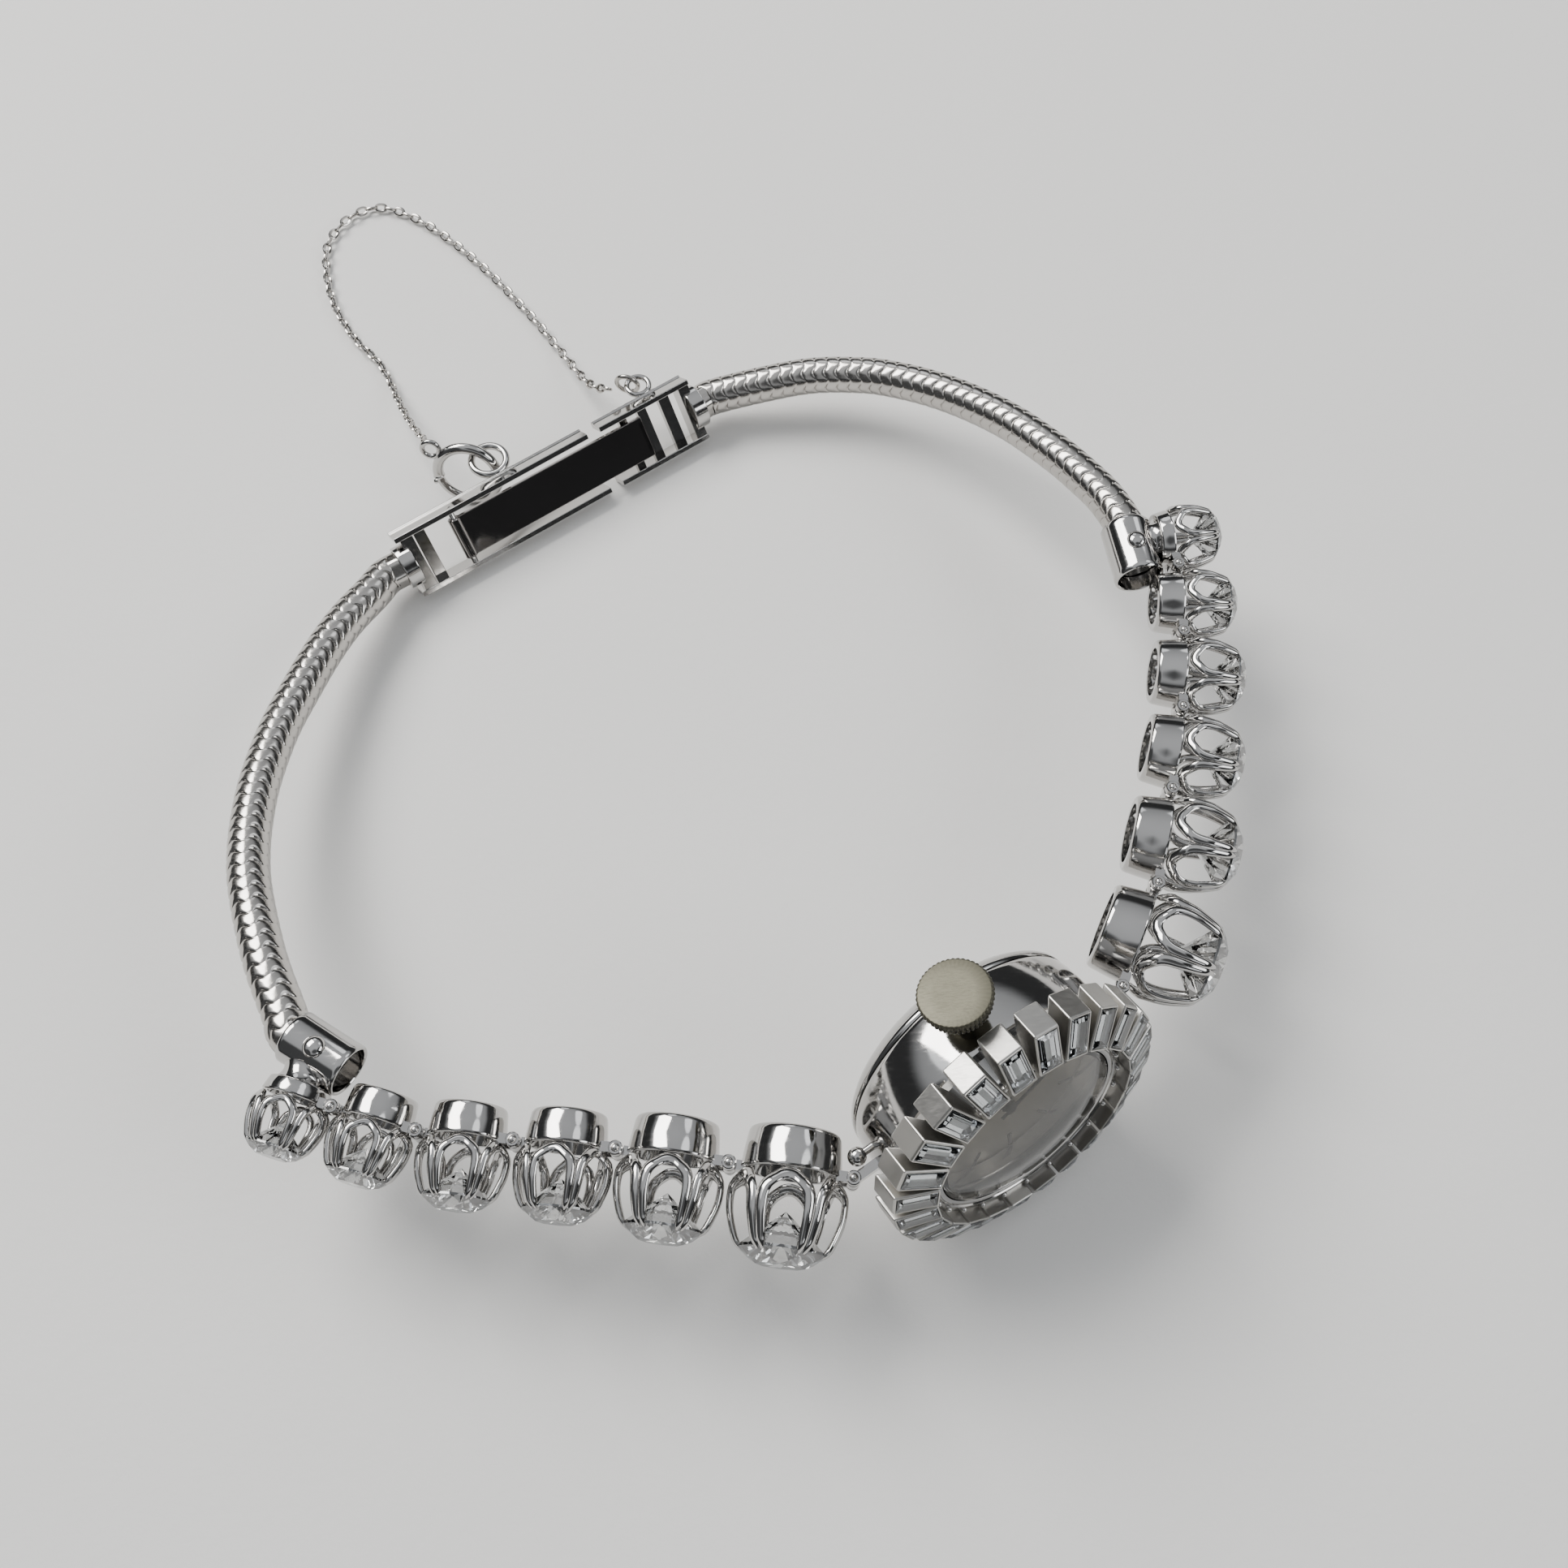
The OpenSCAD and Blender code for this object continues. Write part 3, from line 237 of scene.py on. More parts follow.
def turn(axis, degrees):
    """The matrix that turns about the named axis."""
    c, s = np.cos(np.radians(degrees)), np.sin(np.radians(degrees))
    a, b = {"x": (1, 2), "y": (2, 0), "z": (0, 1)}[axis]
    m = np.eye(3)
    m[a, a] = m[b, b] = c
    m[a, b], m[b, a] = -s, s
    return m


def moved(parts, matrix=np.eye(3), to=(0, 0, 0)):
    """Each part's points turned by the matrix and then moved."""
    return [(points @ np.array(matrix).T + to, faces) for points, faces in parts]


def disc(radius, sides):
    """Points of a circle in a plane: (r cos a, r sin a)."""
    a = np.arange(sides) * 2 * np.pi / sides
    return radius * np.stack([np.cos(a), np.sin(a)], 1)


def wire_ring(diameter, wire, steps=48, sides=12):
    """A ring of round wire in the XY plane: a circle carried round a circle."""
    route = np.pad(disc((diameter - wire) / 2, steps), ((0, 0), (0, 1)))
    return skin(sweep(route, disc(wire / 2, sides), closed=True), along=True)


def piece(name, parts, body, material, sharp=38, bevel=0.0, instead=()):
    """Joins the parts into one object in metres, with doubles merged and faces turned outwards.

    Edges sharper than the angle stay sharp, or get a bevel of that width.
    """
    points, faces, start = [], [], 0
    for p, f in parts:
        points.append(p)
        faces += [[int(i) + start for i in face] for face in f]
        start += len(p)
    mesh = bpy.data.meshes.new(name)
    mesh.from_pydata(np.concatenate(points) * 0.001, [], faces)
    shell = bmesh.new()
    shell.from_mesh(mesh)
    bmesh.ops.remove_doubles(shell, verts=shell.verts, dist=2e-7)
    bmesh.ops.dissolve_degenerate(shell, edges=shell.edges, dist=1e-8)
    bmesh.ops.recalc_face_normals(shell, faces=shell.faces)
    shell.to_mesh(mesh)
    shell.free()
    mesh.shade_smooth()
    if not bevel:
        mesh.set_sharp_from_angle(angle=np.radians(sharp))
    mesh.materials.append(material)
    made = bpy.data.objects.new(name, mesh)
    scene.collection.objects.link(made)
    if bevel:
        rounding = made.modifiers.new("edges", "BEVEL")
        rounding.width = bevel * 0.001
        rounding.segments = 2
        rounding.limit_method = "ANGLE"
        rounding.angle_limit = np.radians(sharp)
        rounding.harden_normals = True
        rounding.use_clamp_overlap = False
    if body:
        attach(made, body)
    if instead:
        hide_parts(*instead)
    return made


def polish_group():
    """Node group for polished metal: a slow tone, fine wiping marks and a height for Bump."""
    group = bpy.data.node_groups.new("polish", "ShaderNodeTree")
    group.interface.new_socket("Vector", in_out="INPUT", socket_type="NodeSocketVector")
    group.interface.new_socket("Mark Size", in_out="INPUT", socket_type="NodeSocketFloat")
    for label in ("Tone", "Haze", "Height"):
        group.interface.new_socket(label, in_out="OUTPUT", socket_type="NodeSocketFloat")
    given = put(group, "NodeGroupInput")
    slow = noise(group, given.outputs["Vector"], 260.0, 3.0)
    spread = put(group, "ShaderNodeVectorMath", {0: given.outputs["Vector"], 1: (1.0, 7.0, 2.5)},
                 operation="MULTIPLY")
    marks = noise(group, spread.outputs[0], given.outputs["Mark Size"], 5.0, 0.7)
    put(group, "NodeGroupOutput", {"Tone": slow, "Haze": ramp(group, marks, 0.45, 0.75), "Height": marks})
    return group


polish = polish_group()


def metal(name, dark, light, gloss, haze, mark_size=900.0, relief=0.05, deep=0.00001):
    """A metal with colour between two tones and roughness from gloss to haze along the wiping marks."""
    made, tree = fresh_material(name)
    on = put(tree, "ShaderNodeTexCoord").outputs["Object"]
    marks = put(tree, "ShaderNodeGroup", {"Vector": on, "Mark Size": mark_size}, node_tree=polish).outputs
    bump = put(tree, "ShaderNodeBump", {"Strength": relief, "Distance": deep, "Height": marks["Height"]})
    show(tree, {
        "Metallic": 1.0, "Base Color": between(tree, marks["Tone"], dark, light),
        "Roughness": ramp(tree, marks["Haze"], 0.0, 1.0, gloss, haze), "Normal": bump.outputs["Normal"]})
    return made


white_gold = metal("polished_white_gold", (0.44, 0.43, 0.42), (0.57, 0.56, 0.545), 0.07, 0.16)
chain_gold = metal("worn_white_gold", (0.42, 0.40, 0.38), (0.56, 0.54, 0.51), 0.15, 0.30, mark_size=1600.0)

safety_route = [
    (-9.67, 28.21, 2.9), (-10.55, 28.95, 2.15), (-11.5, 30.25, 1.4), (-12.75, 32.25, 0.85),
    (-13.95, 34.15, 0.52), (-15.35, 36.15, 0.41), (-16.95, 38.15, 0.4), (-19.15, 40.75, 0.4),
    (-21.95, 43.55, 0.4), (-24.75, 45.75, 0.4), (-27.55, 46.95, 0.4), (-29.75, 46.15, 0.4),
    (-31.15, 43.75, 0.4), (-31.05, 40.95, 0.4), (-30.05, 37.65, 0.4), (-28.25, 34.65, 0.4),
    (-26.35, 32.55, 0.41), (-25.25, 30.65, 0.55), (-24.35, 28.65, 1.05), (-23.35, 26.6, 1.8),
    (-22.33, 24.78, 2.7), (-21.59, 23.56, 3.5)]
line = smooth_route(safety_route, 12)
link_pitch = 0.72
links = int(round(evenly(line, 2)[1] / link_pitch))
middles, safety_length = evenly(line, links)
t = unit(np.gradient(middles, axis=0))
side = unit(np.cross(t, (0, 0, 1)))
top = np.cross(side, t)
a = np.arange(18) * 2 * np.pi / 18
wire_r = 0.105
oval = np.stack([0.40 * np.sign(np.cos(a)) * np.abs(np.cos(a)) ** 0.8, 0.235 * np.sin(a)], 1)
chain_parts = []
for k in range(links):
    roll = np.radians(38.0 if k % 2 else -52.0)
    across = np.cos(roll) * side[k] + np.sin(roll) * top[k]
    route = middles[k] + oval[:, :1] * t[k] + oval[:, 1:] * across
    bent = sweep(route, disc(wire_r, 7), up=np.cross(t[k], across), closed=True)
    chain_parts.append(skin(bent, along=True))
safety_chain = piece("trace_chain", chain_parts, "", chain_gold, instead=("safety_chain",))
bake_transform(safety_chain)


# Clasp. Two frames of thin rolled rails, bridged by bars, slide together, and a
# long plate that turns on a pin through the left frame folds down and hooks them.
clasp_length, clasp_width, rail_depth, rail_wall = 22.4, 4.4, 1.5, 0.36
half = clasp_width / 2
left_end, right_start = 14.5, 15.4
keeper_x, keeper_d, loop_x, loop_d = 8.3, 2.8, 19.7, 1.9
plate_axis = np.array([4.1, -0.34, 0])
clasp_lean = 36.0
lean = np.radians(clasp_lean)
clasp_turn = turn("z", 34.6) @ turn("x", -clasp_lean)
clasp_middle = np.array([-12.9, 20.85, half * np.cos(lean) + rail_depth / 2 * np.sin(lean)])
clasp_start = clasp_middle - clasp_turn @ np.array([clasp_length / 2, 0, 0])


def block(low, high):
    """A box from its lowest to its highest corner."""
    x, y, z = np.stack([low, high], 1)
    corners = np.array([(a, b, c) for a in x for b in y for c in z])
    return corners, [[0, 1, 3, 2], [4, 6, 7, 5], [0, 4, 5, 1], [2, 3, 7, 6], [0, 2, 6, 4], [1, 5, 7, 3]]


def lathe(profile, steps=64, closed=False):
    """A profile of (r, z) turned about Z: (r cos a, r sin a, z).

    An open profile starts and ends on the axis.
    """
    profile = np.array(profile, float)
    a = np.arange(steps) * 2 * np.pi / steps
    r, z = profile[:, :1], np.broadcast_to(profile[:, 1:], (len(profile), steps))
    return skin(np.stack([r * np.cos(a), r * np.sin(a), z], -1), along=closed)


def pin(radius, low, high, steps=24, dome=0.3):
    """A round pin along Z with its two ends domed."""
    d = dome * radius
    return lathe([
        (0, low - d), (0.5 * radius, low - 0.8 * d), (0.88 * radius, low - 0.3 * d),
        (radius, low + 0.12 * radius), (radius, high - 0.12 * radius), (0.88 * radius, high + 0.3 * d),
        (0.5 * radius, high + 0.8 * d), (0, high + d)], steps)


def tube(radius, bore, low, high, steps=32):
    """A round tube along Z with its edges eased."""
    e = min(0.06, (radius - bore) / 4)
    return lathe([
        (bore, low + e), (bore + e, low), (radius - e, low), (radius, low + e), (radius, high - e),
        (radius - e, high), (bore + e, high), (bore, high - e)], steps, closed=True)


def rail(start, end, level, edge):
    """A rail with a rolled outer edge, along X at one side of the clasp."""
    y, z = rail_depth / 2, rail_wall
    section = np.array([(-y, 0), (y - 0.28, 0), (y - 0.2, -0.10 * edge), (y - 0.04, -0.10 * edge),
                        (y, 0.05), (y, z), (-y, z)])
    if edge < 0:
        section[:, 1] = z - section[:, 1]
        section[2:4, 1] = z + 0.10
        section[4, 1] = z - 0.05
    rows = np.stack([np.pad(section, ((0, 0), (1, 0)), constant_values=x) for x in (start, end)])
    points, faces = skin(rows)
    n = len(section)
    points = points + (0, 0, level)
    return points, faces.tolist() + [list(range(n))[::-1], list(range(n, 2 * n))]


def edge_middle(x, diameter):
    """The middle of a level ring at the outer edge of the upper rail."""
    out = diameter / 2 - 0.1
    return np.array([x, rail_depth / 2 + out * np.cos(lean), half + out * np.sin(lean)])


def along_x(parts):
    """Parts made along Z, laid along X."""
    return moved(parts, turn("y", 90))


def frame_parts(x0, x1, bars, socket, ring_x, ring_d, ring_wire):
    """Two rails, bars given as (x, length, y, depth), a socket for the chain and a level ring of wire."""
    made = [rail(x0, x1, half - rail_wall, -1), rail(x0, x1, -half, 1)]
    made += [block((x, y, -half + 0.18), (x + long, y + deep, half - 0.18)) for x, long, y, deep in bars]
    made += along_x([tube(1.45, 1.23, *socket)])
    return made + moved([wire_ring(ring_d, ring_wire)], turn("x", clasp_lean), edge_middle(ring_x, ring_d))


left_bars = [(0.3, 0.9, -0.65, 1.3), (1.35, 0.8, 0.05, 0.55)]
right_bars = [(21.55, 0.8, -0.65, 1.3), (17.05, 0.6, 0.1, 0.55), (18.5, 0.7, 0.1, 0.55),
              (20.2, 0.8, 0.1, 0.55)]
frames = {
    "left": frame_parts(0, left_end, left_bars, (-0.4, 0.6), keeper_x, keeper_d, 0.5),
    "right": frame_parts(right_start, clasp_length, right_bars, (21.8, 22.8), loop_x, loop_d, 0.4)}
for row, parts in frames.items():
    parts = moved(parts, clasp_turn, clasp_start)
    piece(f"clasp_{row}_rails", parts, f"clasp_{row}", white_gold, bevel=0.05,
          instead=(f"clasp_{row}_frame",))
plate_steel = metal("mirror_plate", (0.24, 0.225, 0.22), (0.32, 0.305, 0.30), 0.03, 0.09, mark_size=500.0)
plate_end, plate_half = 18.4, 1.42
plate = [block((plate_axis[0], -0.55, -plate_half), (plate_end, -0.17, plate_half)),
         block((plate_end - 0.35, -0.55, -1.12), (plate_end, 0.2, 1.12))]
plate += moved([tube(0.42, 0.26, -plate_half, plate_half)], to=plate_axis)
piece("folding_plate", moved(plate, clasp_turn, clasp_start), "clasp_plate", plate_steel,
      bevel=0.06, instead=("clasp_plate",))
plate_pin = moved([pin(0.20, -half, half, dome=0.15)], clasp_turn, clasp_start + clasp_turn @ plate_axis)
piece("folding_plate_pin", plate_pin, "clasp_left", white_gold, instead=("clasp_hinge_pin",))


# Jump ring and spring ring. Both are of round wire; the spring ring is a tube whose
# gap is closed by a sliding trigger, with a small eye for the chain.
def plan(degrees):
    """The level direction at that angle."""
    return np.array([np.cos(np.radians(degrees)), np.sin(np.radians(degrees)), 0.0])


loop_middle = clasp_start + clasp_turn @ edge_middle(loop_x, loop_d)
jump_angle = -12
jump_turn = turn("z", jump_angle) @ turn("x", 90)
jump_ring = moved([wire_ring(1.8, 0.32)], jump_turn, loop_middle - 0.74 * plan(jump_angle))
piece("wire_jump_ring", jump_ring, "clasp_right", chain_gold, instead=("jump_ring",))
keeper_middle = clasp_start + clasp_turn @ edge_middle(keeper_x, keeper_d)
spring_r = 2.04
spring_turn = turn("z", -6) @ turn("y", 2.5) @ turn("x", 73)
spring_middle = np.array([keeper_middle[0] - 1.57, keeper_middle[1] - 0.17, 0.957 * spring_r + 0.37])


def wire_arc(first, last, radius, wire, sides=16):
    """Part of a ring of round wire, from one angle to the other, with its ends eased."""
    a = np.radians(np.linspace(first, last, int(abs(last - first) / 6) + 2))
    route = radius * np.stack([np.cos(a), np.sin(a), 0 * a], 1)
    sizes = np.full(len(a), wire / 2)
    sizes[[0, -1]] *= 0.86
    return skin(sweep(route, sizes[:, None, None] * disc(1.0, sides)), capped=True)


eye_angle, knob_angle = 145, 203
eye_out = (4.8 + 1.5) / 2 - 0.25
ring_parts = [wire_arc(265, 555, spring_r, 0.72)] + [wire_arc(a, a + 7, spring_r, 0.80) for a in (265, 548)]
ring_parts += moved([wire_ring(1.5, 0.36)], turn("z", eye_angle), eye_out * plan(eye_angle))
ring_parts = moved(ring_parts, spring_turn, spring_middle)
piece("spring_ring_tube", ring_parts, "clasp_left", white_gold, instead=("spring_ring",))
trigger = [wire_arc(196.5, 263.5, spring_r, 0.58)]
trigger += moved([pin(0.16, 0, 0.34)], turn("z", knob_angle) @ turn("y", 90), 2.2 * plan(knob_angle))
trigger = moved(trigger, spring_turn, spring_middle)
piece("spring_ring_slide", trigger, "clasp_left", white_gold, instead=("spring_ring_trigger",))


# Links. Each is a collet: a cup of polished sheet with a crown of six hoops, whose
# sides run together in pairs as claws, and hinge barrels at its two sides.
link_d = [4.30, 4.50, 4.90, 5.15, 5.70, 6.25]
link_gap, cup_share, cup_back, end_back = 0.13, 0.42, 0.33, 0.75
barrel_r, barrel_bore, barrel_half, barrel_step = 0.38, 0.24, 0.45, 0.76
row_turns = {"left": [-16.2, -15.2, -5.5, -4.5, -7.0, -7.2], "right": [98, 88, 83.5, 77.5, 76.5, 67]}
claw_turn = {"left": [-2, -3, -4, 6, -1, 1], "right": [1, 1, -1, 0, -10, -5]}
head_turn, head_lean, lug_reach, hinge_back = 34.65, 17.0, 8.8, 0.5
bezel_r, box_low = 8.4, 0.85
lean_cos, lean_sin = np.cos(np.radians(head_lean)), np.sin(np.radians(head_lean))
back_r, back_z = 7.1, 3.05
# The head rests on a box's outer corners or on the edge of its back, whichever reaches lower.
head_middle = np.array([13.5, -21.1, max(
    1.0036 * bezel_r * lean_cos - box_low * lean_sin, back_r * lean_cos + back_z * lean_sin)])
link_middle = {}
for row, sign in (("left", -1), ("right", 1)):
    joint = head_middle + hinge_back * plan(head_turn + 90) + sign * lug_reach * plan(head_turn)
    for i in range(5, -1, -1):
        step = (link_d[i] + link_gap) * sign * plan(row_turns[row][i])
        link_middle[row, i] = joint + step / 2
        joint = joint + step


def crown_line(d, steps=6):
    """The crown's outline (r, h) from the cup's rim to the claws' tips, as a smooth curve."""
    r, h = d / 2, 0.68 * d
    return smooth_route([
        (0.83 * r, -0.02 * h), (0.855 * r, 0.05 * h), (0.905 * r, 0.12 * h), (0.965 * r, 0.19 * h),
        (r, 0.29 * h), (0.975 * r, 0.54 * h), (0.87 * r, 0.78 * h), (0.79 * r, 0.90 * h),
        (0.67 * r, 0.99 * h)], steps)


def hoop(d, depth=0.36):
    """One hoop of flattened wire that lies on the crown's outline, for an arch at angle 0.

    The middle line runs down a claw, x = 1/12 pi - b and h from 0.668 to 0.31, and round the arch,
    x = (pi / 12 - b) cos t and h = 0.31 - 0.252 sin t, in d, with x = angle / 2. The half width b
    grows from 0.038 at the tip to 0.055 at the arch, and the section is an ellipse b by depth / 2.
    """
    s = np.linspace(0, 1, 10)[:-1]
    t = np.radians(np.linspace(0, 90, 15))
    half_width = np.concatenate([0.038 + 0.011 * s, 0.049 + 0.006 * np.sin(t)])
    x = np.concatenate([np.pi / 12 - half_width[:9], (np.pi / 12 - 0.049) * np.cos(t)])
    h = np.concatenate([0.668 - 0.358 * s, 0.31 - 0.252 * np.sin(t)]) * d
    x, h, half_width = (np.concatenate([v, v[-2::-1]]) for v in (x, h, half_width))
    x[len(x) // 2 + 1:] *= -1
    outline = crown_line(d)
    slope = unit(np.gradient(outline, axis=0))
    r, n_r, n_h = (np.interp(h, outline[:, 1], v) for v in (outline[:, 0], slope[:, 1], -slope[:, 0]))
    r = r - depth / 2 * n_r
    route = np.stack([r * np.cos(2 * x), r * np.sin(2 * x), h - depth / 2 * n_h], -1)
    out = np.stack([n_r * np.cos(2 * x), n_r * np.sin(2 * x), n_h], -1)
    size = np.ones(len(x))
    size[[0, 1, -2, -1]] = 0.55, 0.86, 0.86, 0.55
    axes = size[:, None] * np.stack([half_width * d, np.full(len(x), depth / 2)], 1)
    return skin(sweep(route, disc(1.0, 14) * axes[:, None], up=out), capped=True)


def crown_of_hoops(d, twist):
    """Six hoops side by side round the collet."""
    return [part for k in range(6) for part in moved([hoop(d)], turn("z", 60 * k + 30 + twist))]


def cup(d, back, wall=0.32):
    """A short cone of sheet, open at both ends, with a fine lip at the hoops and a rounded back edge."""
    r = cup_share * d
    return lathe([
        (r - wall, -0.02), (r - wall + 0.05, 0.06), (r - 0.08, 0.07), (r - 0.01, 0.03), (r + 0.01, -0.04),
        (r - 0.01, -0.10), (0.965 * r, -0.45 * back), (0.925 * r, -0.86 * back), (0.91 * r, -0.93 * back),
        (0.885 * r, -0.98 * back), (0.86 * r, -back), (0.82 * r, -back), (0.84 * r - wall, -back),
        (0.84 * r - wall, -0.90 * back)], 96, closed=True)


def hinge_parts(d, inward, middle_barrel):
    """The barrels and arms of one link, with upright barrels along Y and the pin at its inner end."""
    joint = (d + link_gap) / 2
    reach = joint - cup_share * d + 0.30
    upright = turn("x", -90)
    made = []
    for y in (-barrel_step, barrel_step):
        made += moved([tube(barrel_r, 0.18, y - 0.25, y + 0.25, 28)], upright, (inward * joint, 0, 0))
        x = sorted((inward * (joint - reach), inward * (joint - 0.3)))
        made.append(block((x[0], y - 0.22, -0.27), (x[1], y + 0.22, 0.25)))
    made += moved([pin(0.20, -1.03, 1.03, dome=0.5)], upright, (inward * joint, 0, 0))
    if middle_barrel:
        barrel = tube(barrel_r, barrel_bore, -barrel_half, barrel_half, 28)
        made += moved([barrel], upright, (-inward * joint, 0, 0))
        x = sorted((-inward * (joint - reach), -inward * (joint - 0.36)))
        made.append(block((x[0], -0.42, -0.25), (x[1], 0.42, 0.25)))
    return made


link_turn = {(row, i): turn("z", row_turns[row][i]) @ turn("x", 90) for row, i in link_middle}
for (row, i), middle in link_middle.items():
    d, inward = link_d[i], 1 if row == "left" else -1
    parts = [cup(d, end_back if i == 0 else cup_back * d)] + crown_of_hoops(d, claw_turn[row][i])
    parts = moved(parts + hinge_parts(d, inward, i > 0), link_turn[row, i], middle)
    piece(f"{row}_setting_{i + 1}", parts, f"{row}_link_{i + 1}", white_gold, sharp=34,
          instead=(f"{row}_collet_{i + 1}",))


# Round stones. Brilliants of 57 facets with a small table, held at the girdle by the
# claws, and clear but for a faint cloud.
def brilliant(d):
    """Rings of corners every 22.5 degrees: table 0.56r, stars 0.80r, girdle r, lower halves 0.2r, culet."""
    r, top = 0.36 * d, 0.74 * d
    girdle, a = 0.68 * d - 0.16 * r, np.radians(22.5 * np.arange(16))

    def ring(radius, z, which):
        return np.stack([radius * np.cos(a[which]), radius * np.sin(a[which]), np.full(len(a[which]), z)], 1)

    even, odd, every = slice(0, 16, 2), slice(1, 16, 2), slice(0, 16)
    culet = girdle - 0.86 * r
    points = np.concatenate([
        ring(0.56 * r, top, even), ring(0.80 * r, top - 0.125 * r, odd), ring(r, girdle + 0.03 * r, every),
        ring(r, girdle - 0.03 * r, every), ring(0.2 * r, culet + 0.154 * r, odd), [[0, 0, culet]]])
    k = np.arange(8)
    n = (k + 1) % 8
    p = (k - 1) % 8
    table, star, high, low, half = k, 8 + k, 16 + 2 * k, 32 + 2 * k, 48 + k
    after = 16 + (2 * k + 2) % 16
    faces = [list(range(8))]
    faces += np.stack([table, n, star], 1).tolist()
    faces += np.stack([table, star, high, 8 + p], 1).tolist()
    faces += np.stack([star, high + 1, high], 1).tolist() + np.stack([star, after, high + 1], 1).tolist()
    j = np.arange(16)
    faces += np.stack([16 + j, 16 + (j + 1) % 16, 32 + (j + 1) % 16, 32 + j], 1).tolist()
    faces += np.stack([low, low + 1, half], 1).tolist() + np.stack([low + 1, 16 + after, half], 1).tolist()
    faces += np.stack([low, half, np.full(8, 56), 48 + p], 1).tolist()
    return points, faces


def gem(name, tint, ior, rough):
    """A clear stone with a trace of colour and a few clouds in it."""
    made, tree = fresh_material(name)
    on = put(tree, "ShaderNodeTexCoord").outputs["Object"]
    cloud = noise(tree, on, 900.0, 4.0)
    show(tree, {
        "Base Color": between(tree, cloud, (0.68, 0.69, 0.69), tint),
        "Roughness": ramp(tree, cloud, 0.5, 0.8, 0.0, rough), "IOR": ior, "Transmission Weight": 1.0})
    return made


diamond = gem("clear_brilliant", (0.42, 0.425, 0.42), 2.3, 0.03)
for (row, i), middle in link_middle.items():
    stone = moved([brilliant(link_d[i])], link_turn[row, i], middle)
    piece(f"{row}_brilliant_{i + 1}", stone, f"{row}_link_{i + 1}", diamond, sharp=2,
          instead=(f"{row}_stone_{i + 1}",))


# Hoods. A polished strap bent to a tube, soldered behind the smallest link; a rivet
# through it holds the end of the snake chain.
hood_r, hood_bore, hood_half = 1.49, 1.27, 1.85
hood_gap = {"left": 0.3, "right": 0.05}
hood_shift = {"left": -0.35, "right": 0.6}
hood_turn = {"left": row_turns["left"][0] - 15.0, "right": row_turns["right"][0] + 180.0 + 1.0}
hood_middle = {}


def foot(matrix, place, axis_point, axis):
    """A flared foot from the cup down to the hood.

    r(s) = 1.14 + 0.25 (1 - s)^2.5 + 0.10 s^4, and it ends where |(p - m) x axis| = R - 0.05.
    """
    a = np.arange(64) * 2 * np.pi / 64
    ring = 1.14 * np.stack([np.cos(a), np.sin(a), 0 * a], 1)
    near, far = np.full(64, -0.6), np.full(64, -2.2)
    for _ in range(24):
        z = (near + far) / 2
        p = (ring + z[:, None] * (0, 0, 1)) @ matrix.T + place
        inside = np.linalg.norm(np.cross(p - axis_point, axis), axis=1) < hood_r - 0.05
        near, far = np.where(inside, near, z), np.where(inside, z, far)
    rows = []
    for s in np.linspace(0, 1, 12):
        r = 1.14 + 0.25 * (1 - s) ** 2.5 + 0.10 * s**4
        rows.append(np.stack([r * np.cos(a), r * np.sin(a), -0.74 + s * (z + 0.74)], 1))
    inner = [row * (0.86, 0.86, 1) for row in rows[::-1]]
    points, faces = skin(np.stack(rows + inner), along=True)
    return points @ matrix.T + place, faces


strap_edge = [(hood_bore, hood_half - 0.06), (hood_bore + 0.05, hood_half), (hood_r - 0.06, hood_half),
              (hood_r, hood_half - 0.08), (hood_r + 0.012, hood_half - 0.30), (hood_r, hood_half - 0.40)]
strap = lathe([(r, -z) for r, z in strap_edge] + strap_edge[::-1], 96, closed=True)
rivet_dome = [(0, 0.30), (0.18, 0.285), (0.36, 0.23), (0.50, 0.14), (0.58, 0.03), (0.60, -0.04), (0.5, -0.08)]
rivet_head = [(r, hood_r + 0.01 + z) for r, z in rivet_dome]
rivet = rivet_head + [(0.24, hood_r - 0.06), (0.24, -hood_r + 0.06)] + [(r, -z) for r, z in rivet_head[::-1]]
for row in ("left", "right"):
    angle = row_turns[row][0]
    behind = end_back + hood_r + hood_gap[row]
    hood_middle[row] = link_middle[row, 0] - behind * plan(angle - 90) - hood_shift[row] * plan(angle)
    parts = moved([strap], turn("z", hood_turn[row]) @ turn("y", 90), hood_middle[row])
    parts.append(foot(link_turn[row, 0], link_middle[row, 0], hood_middle[row], plan(hood_turn[row])))
    piece(f"{row}_hood_strap", parts, f"{row}_link_1", white_gold, instead=(f"{row}_hood",))
    parts = moved([lathe(rivet, 40)], to=hood_middle[row])
    piece(f"{row}_hood_rivet", parts, f"{row}_link_1", white_gold, instead=(f"{row}_rivet",))


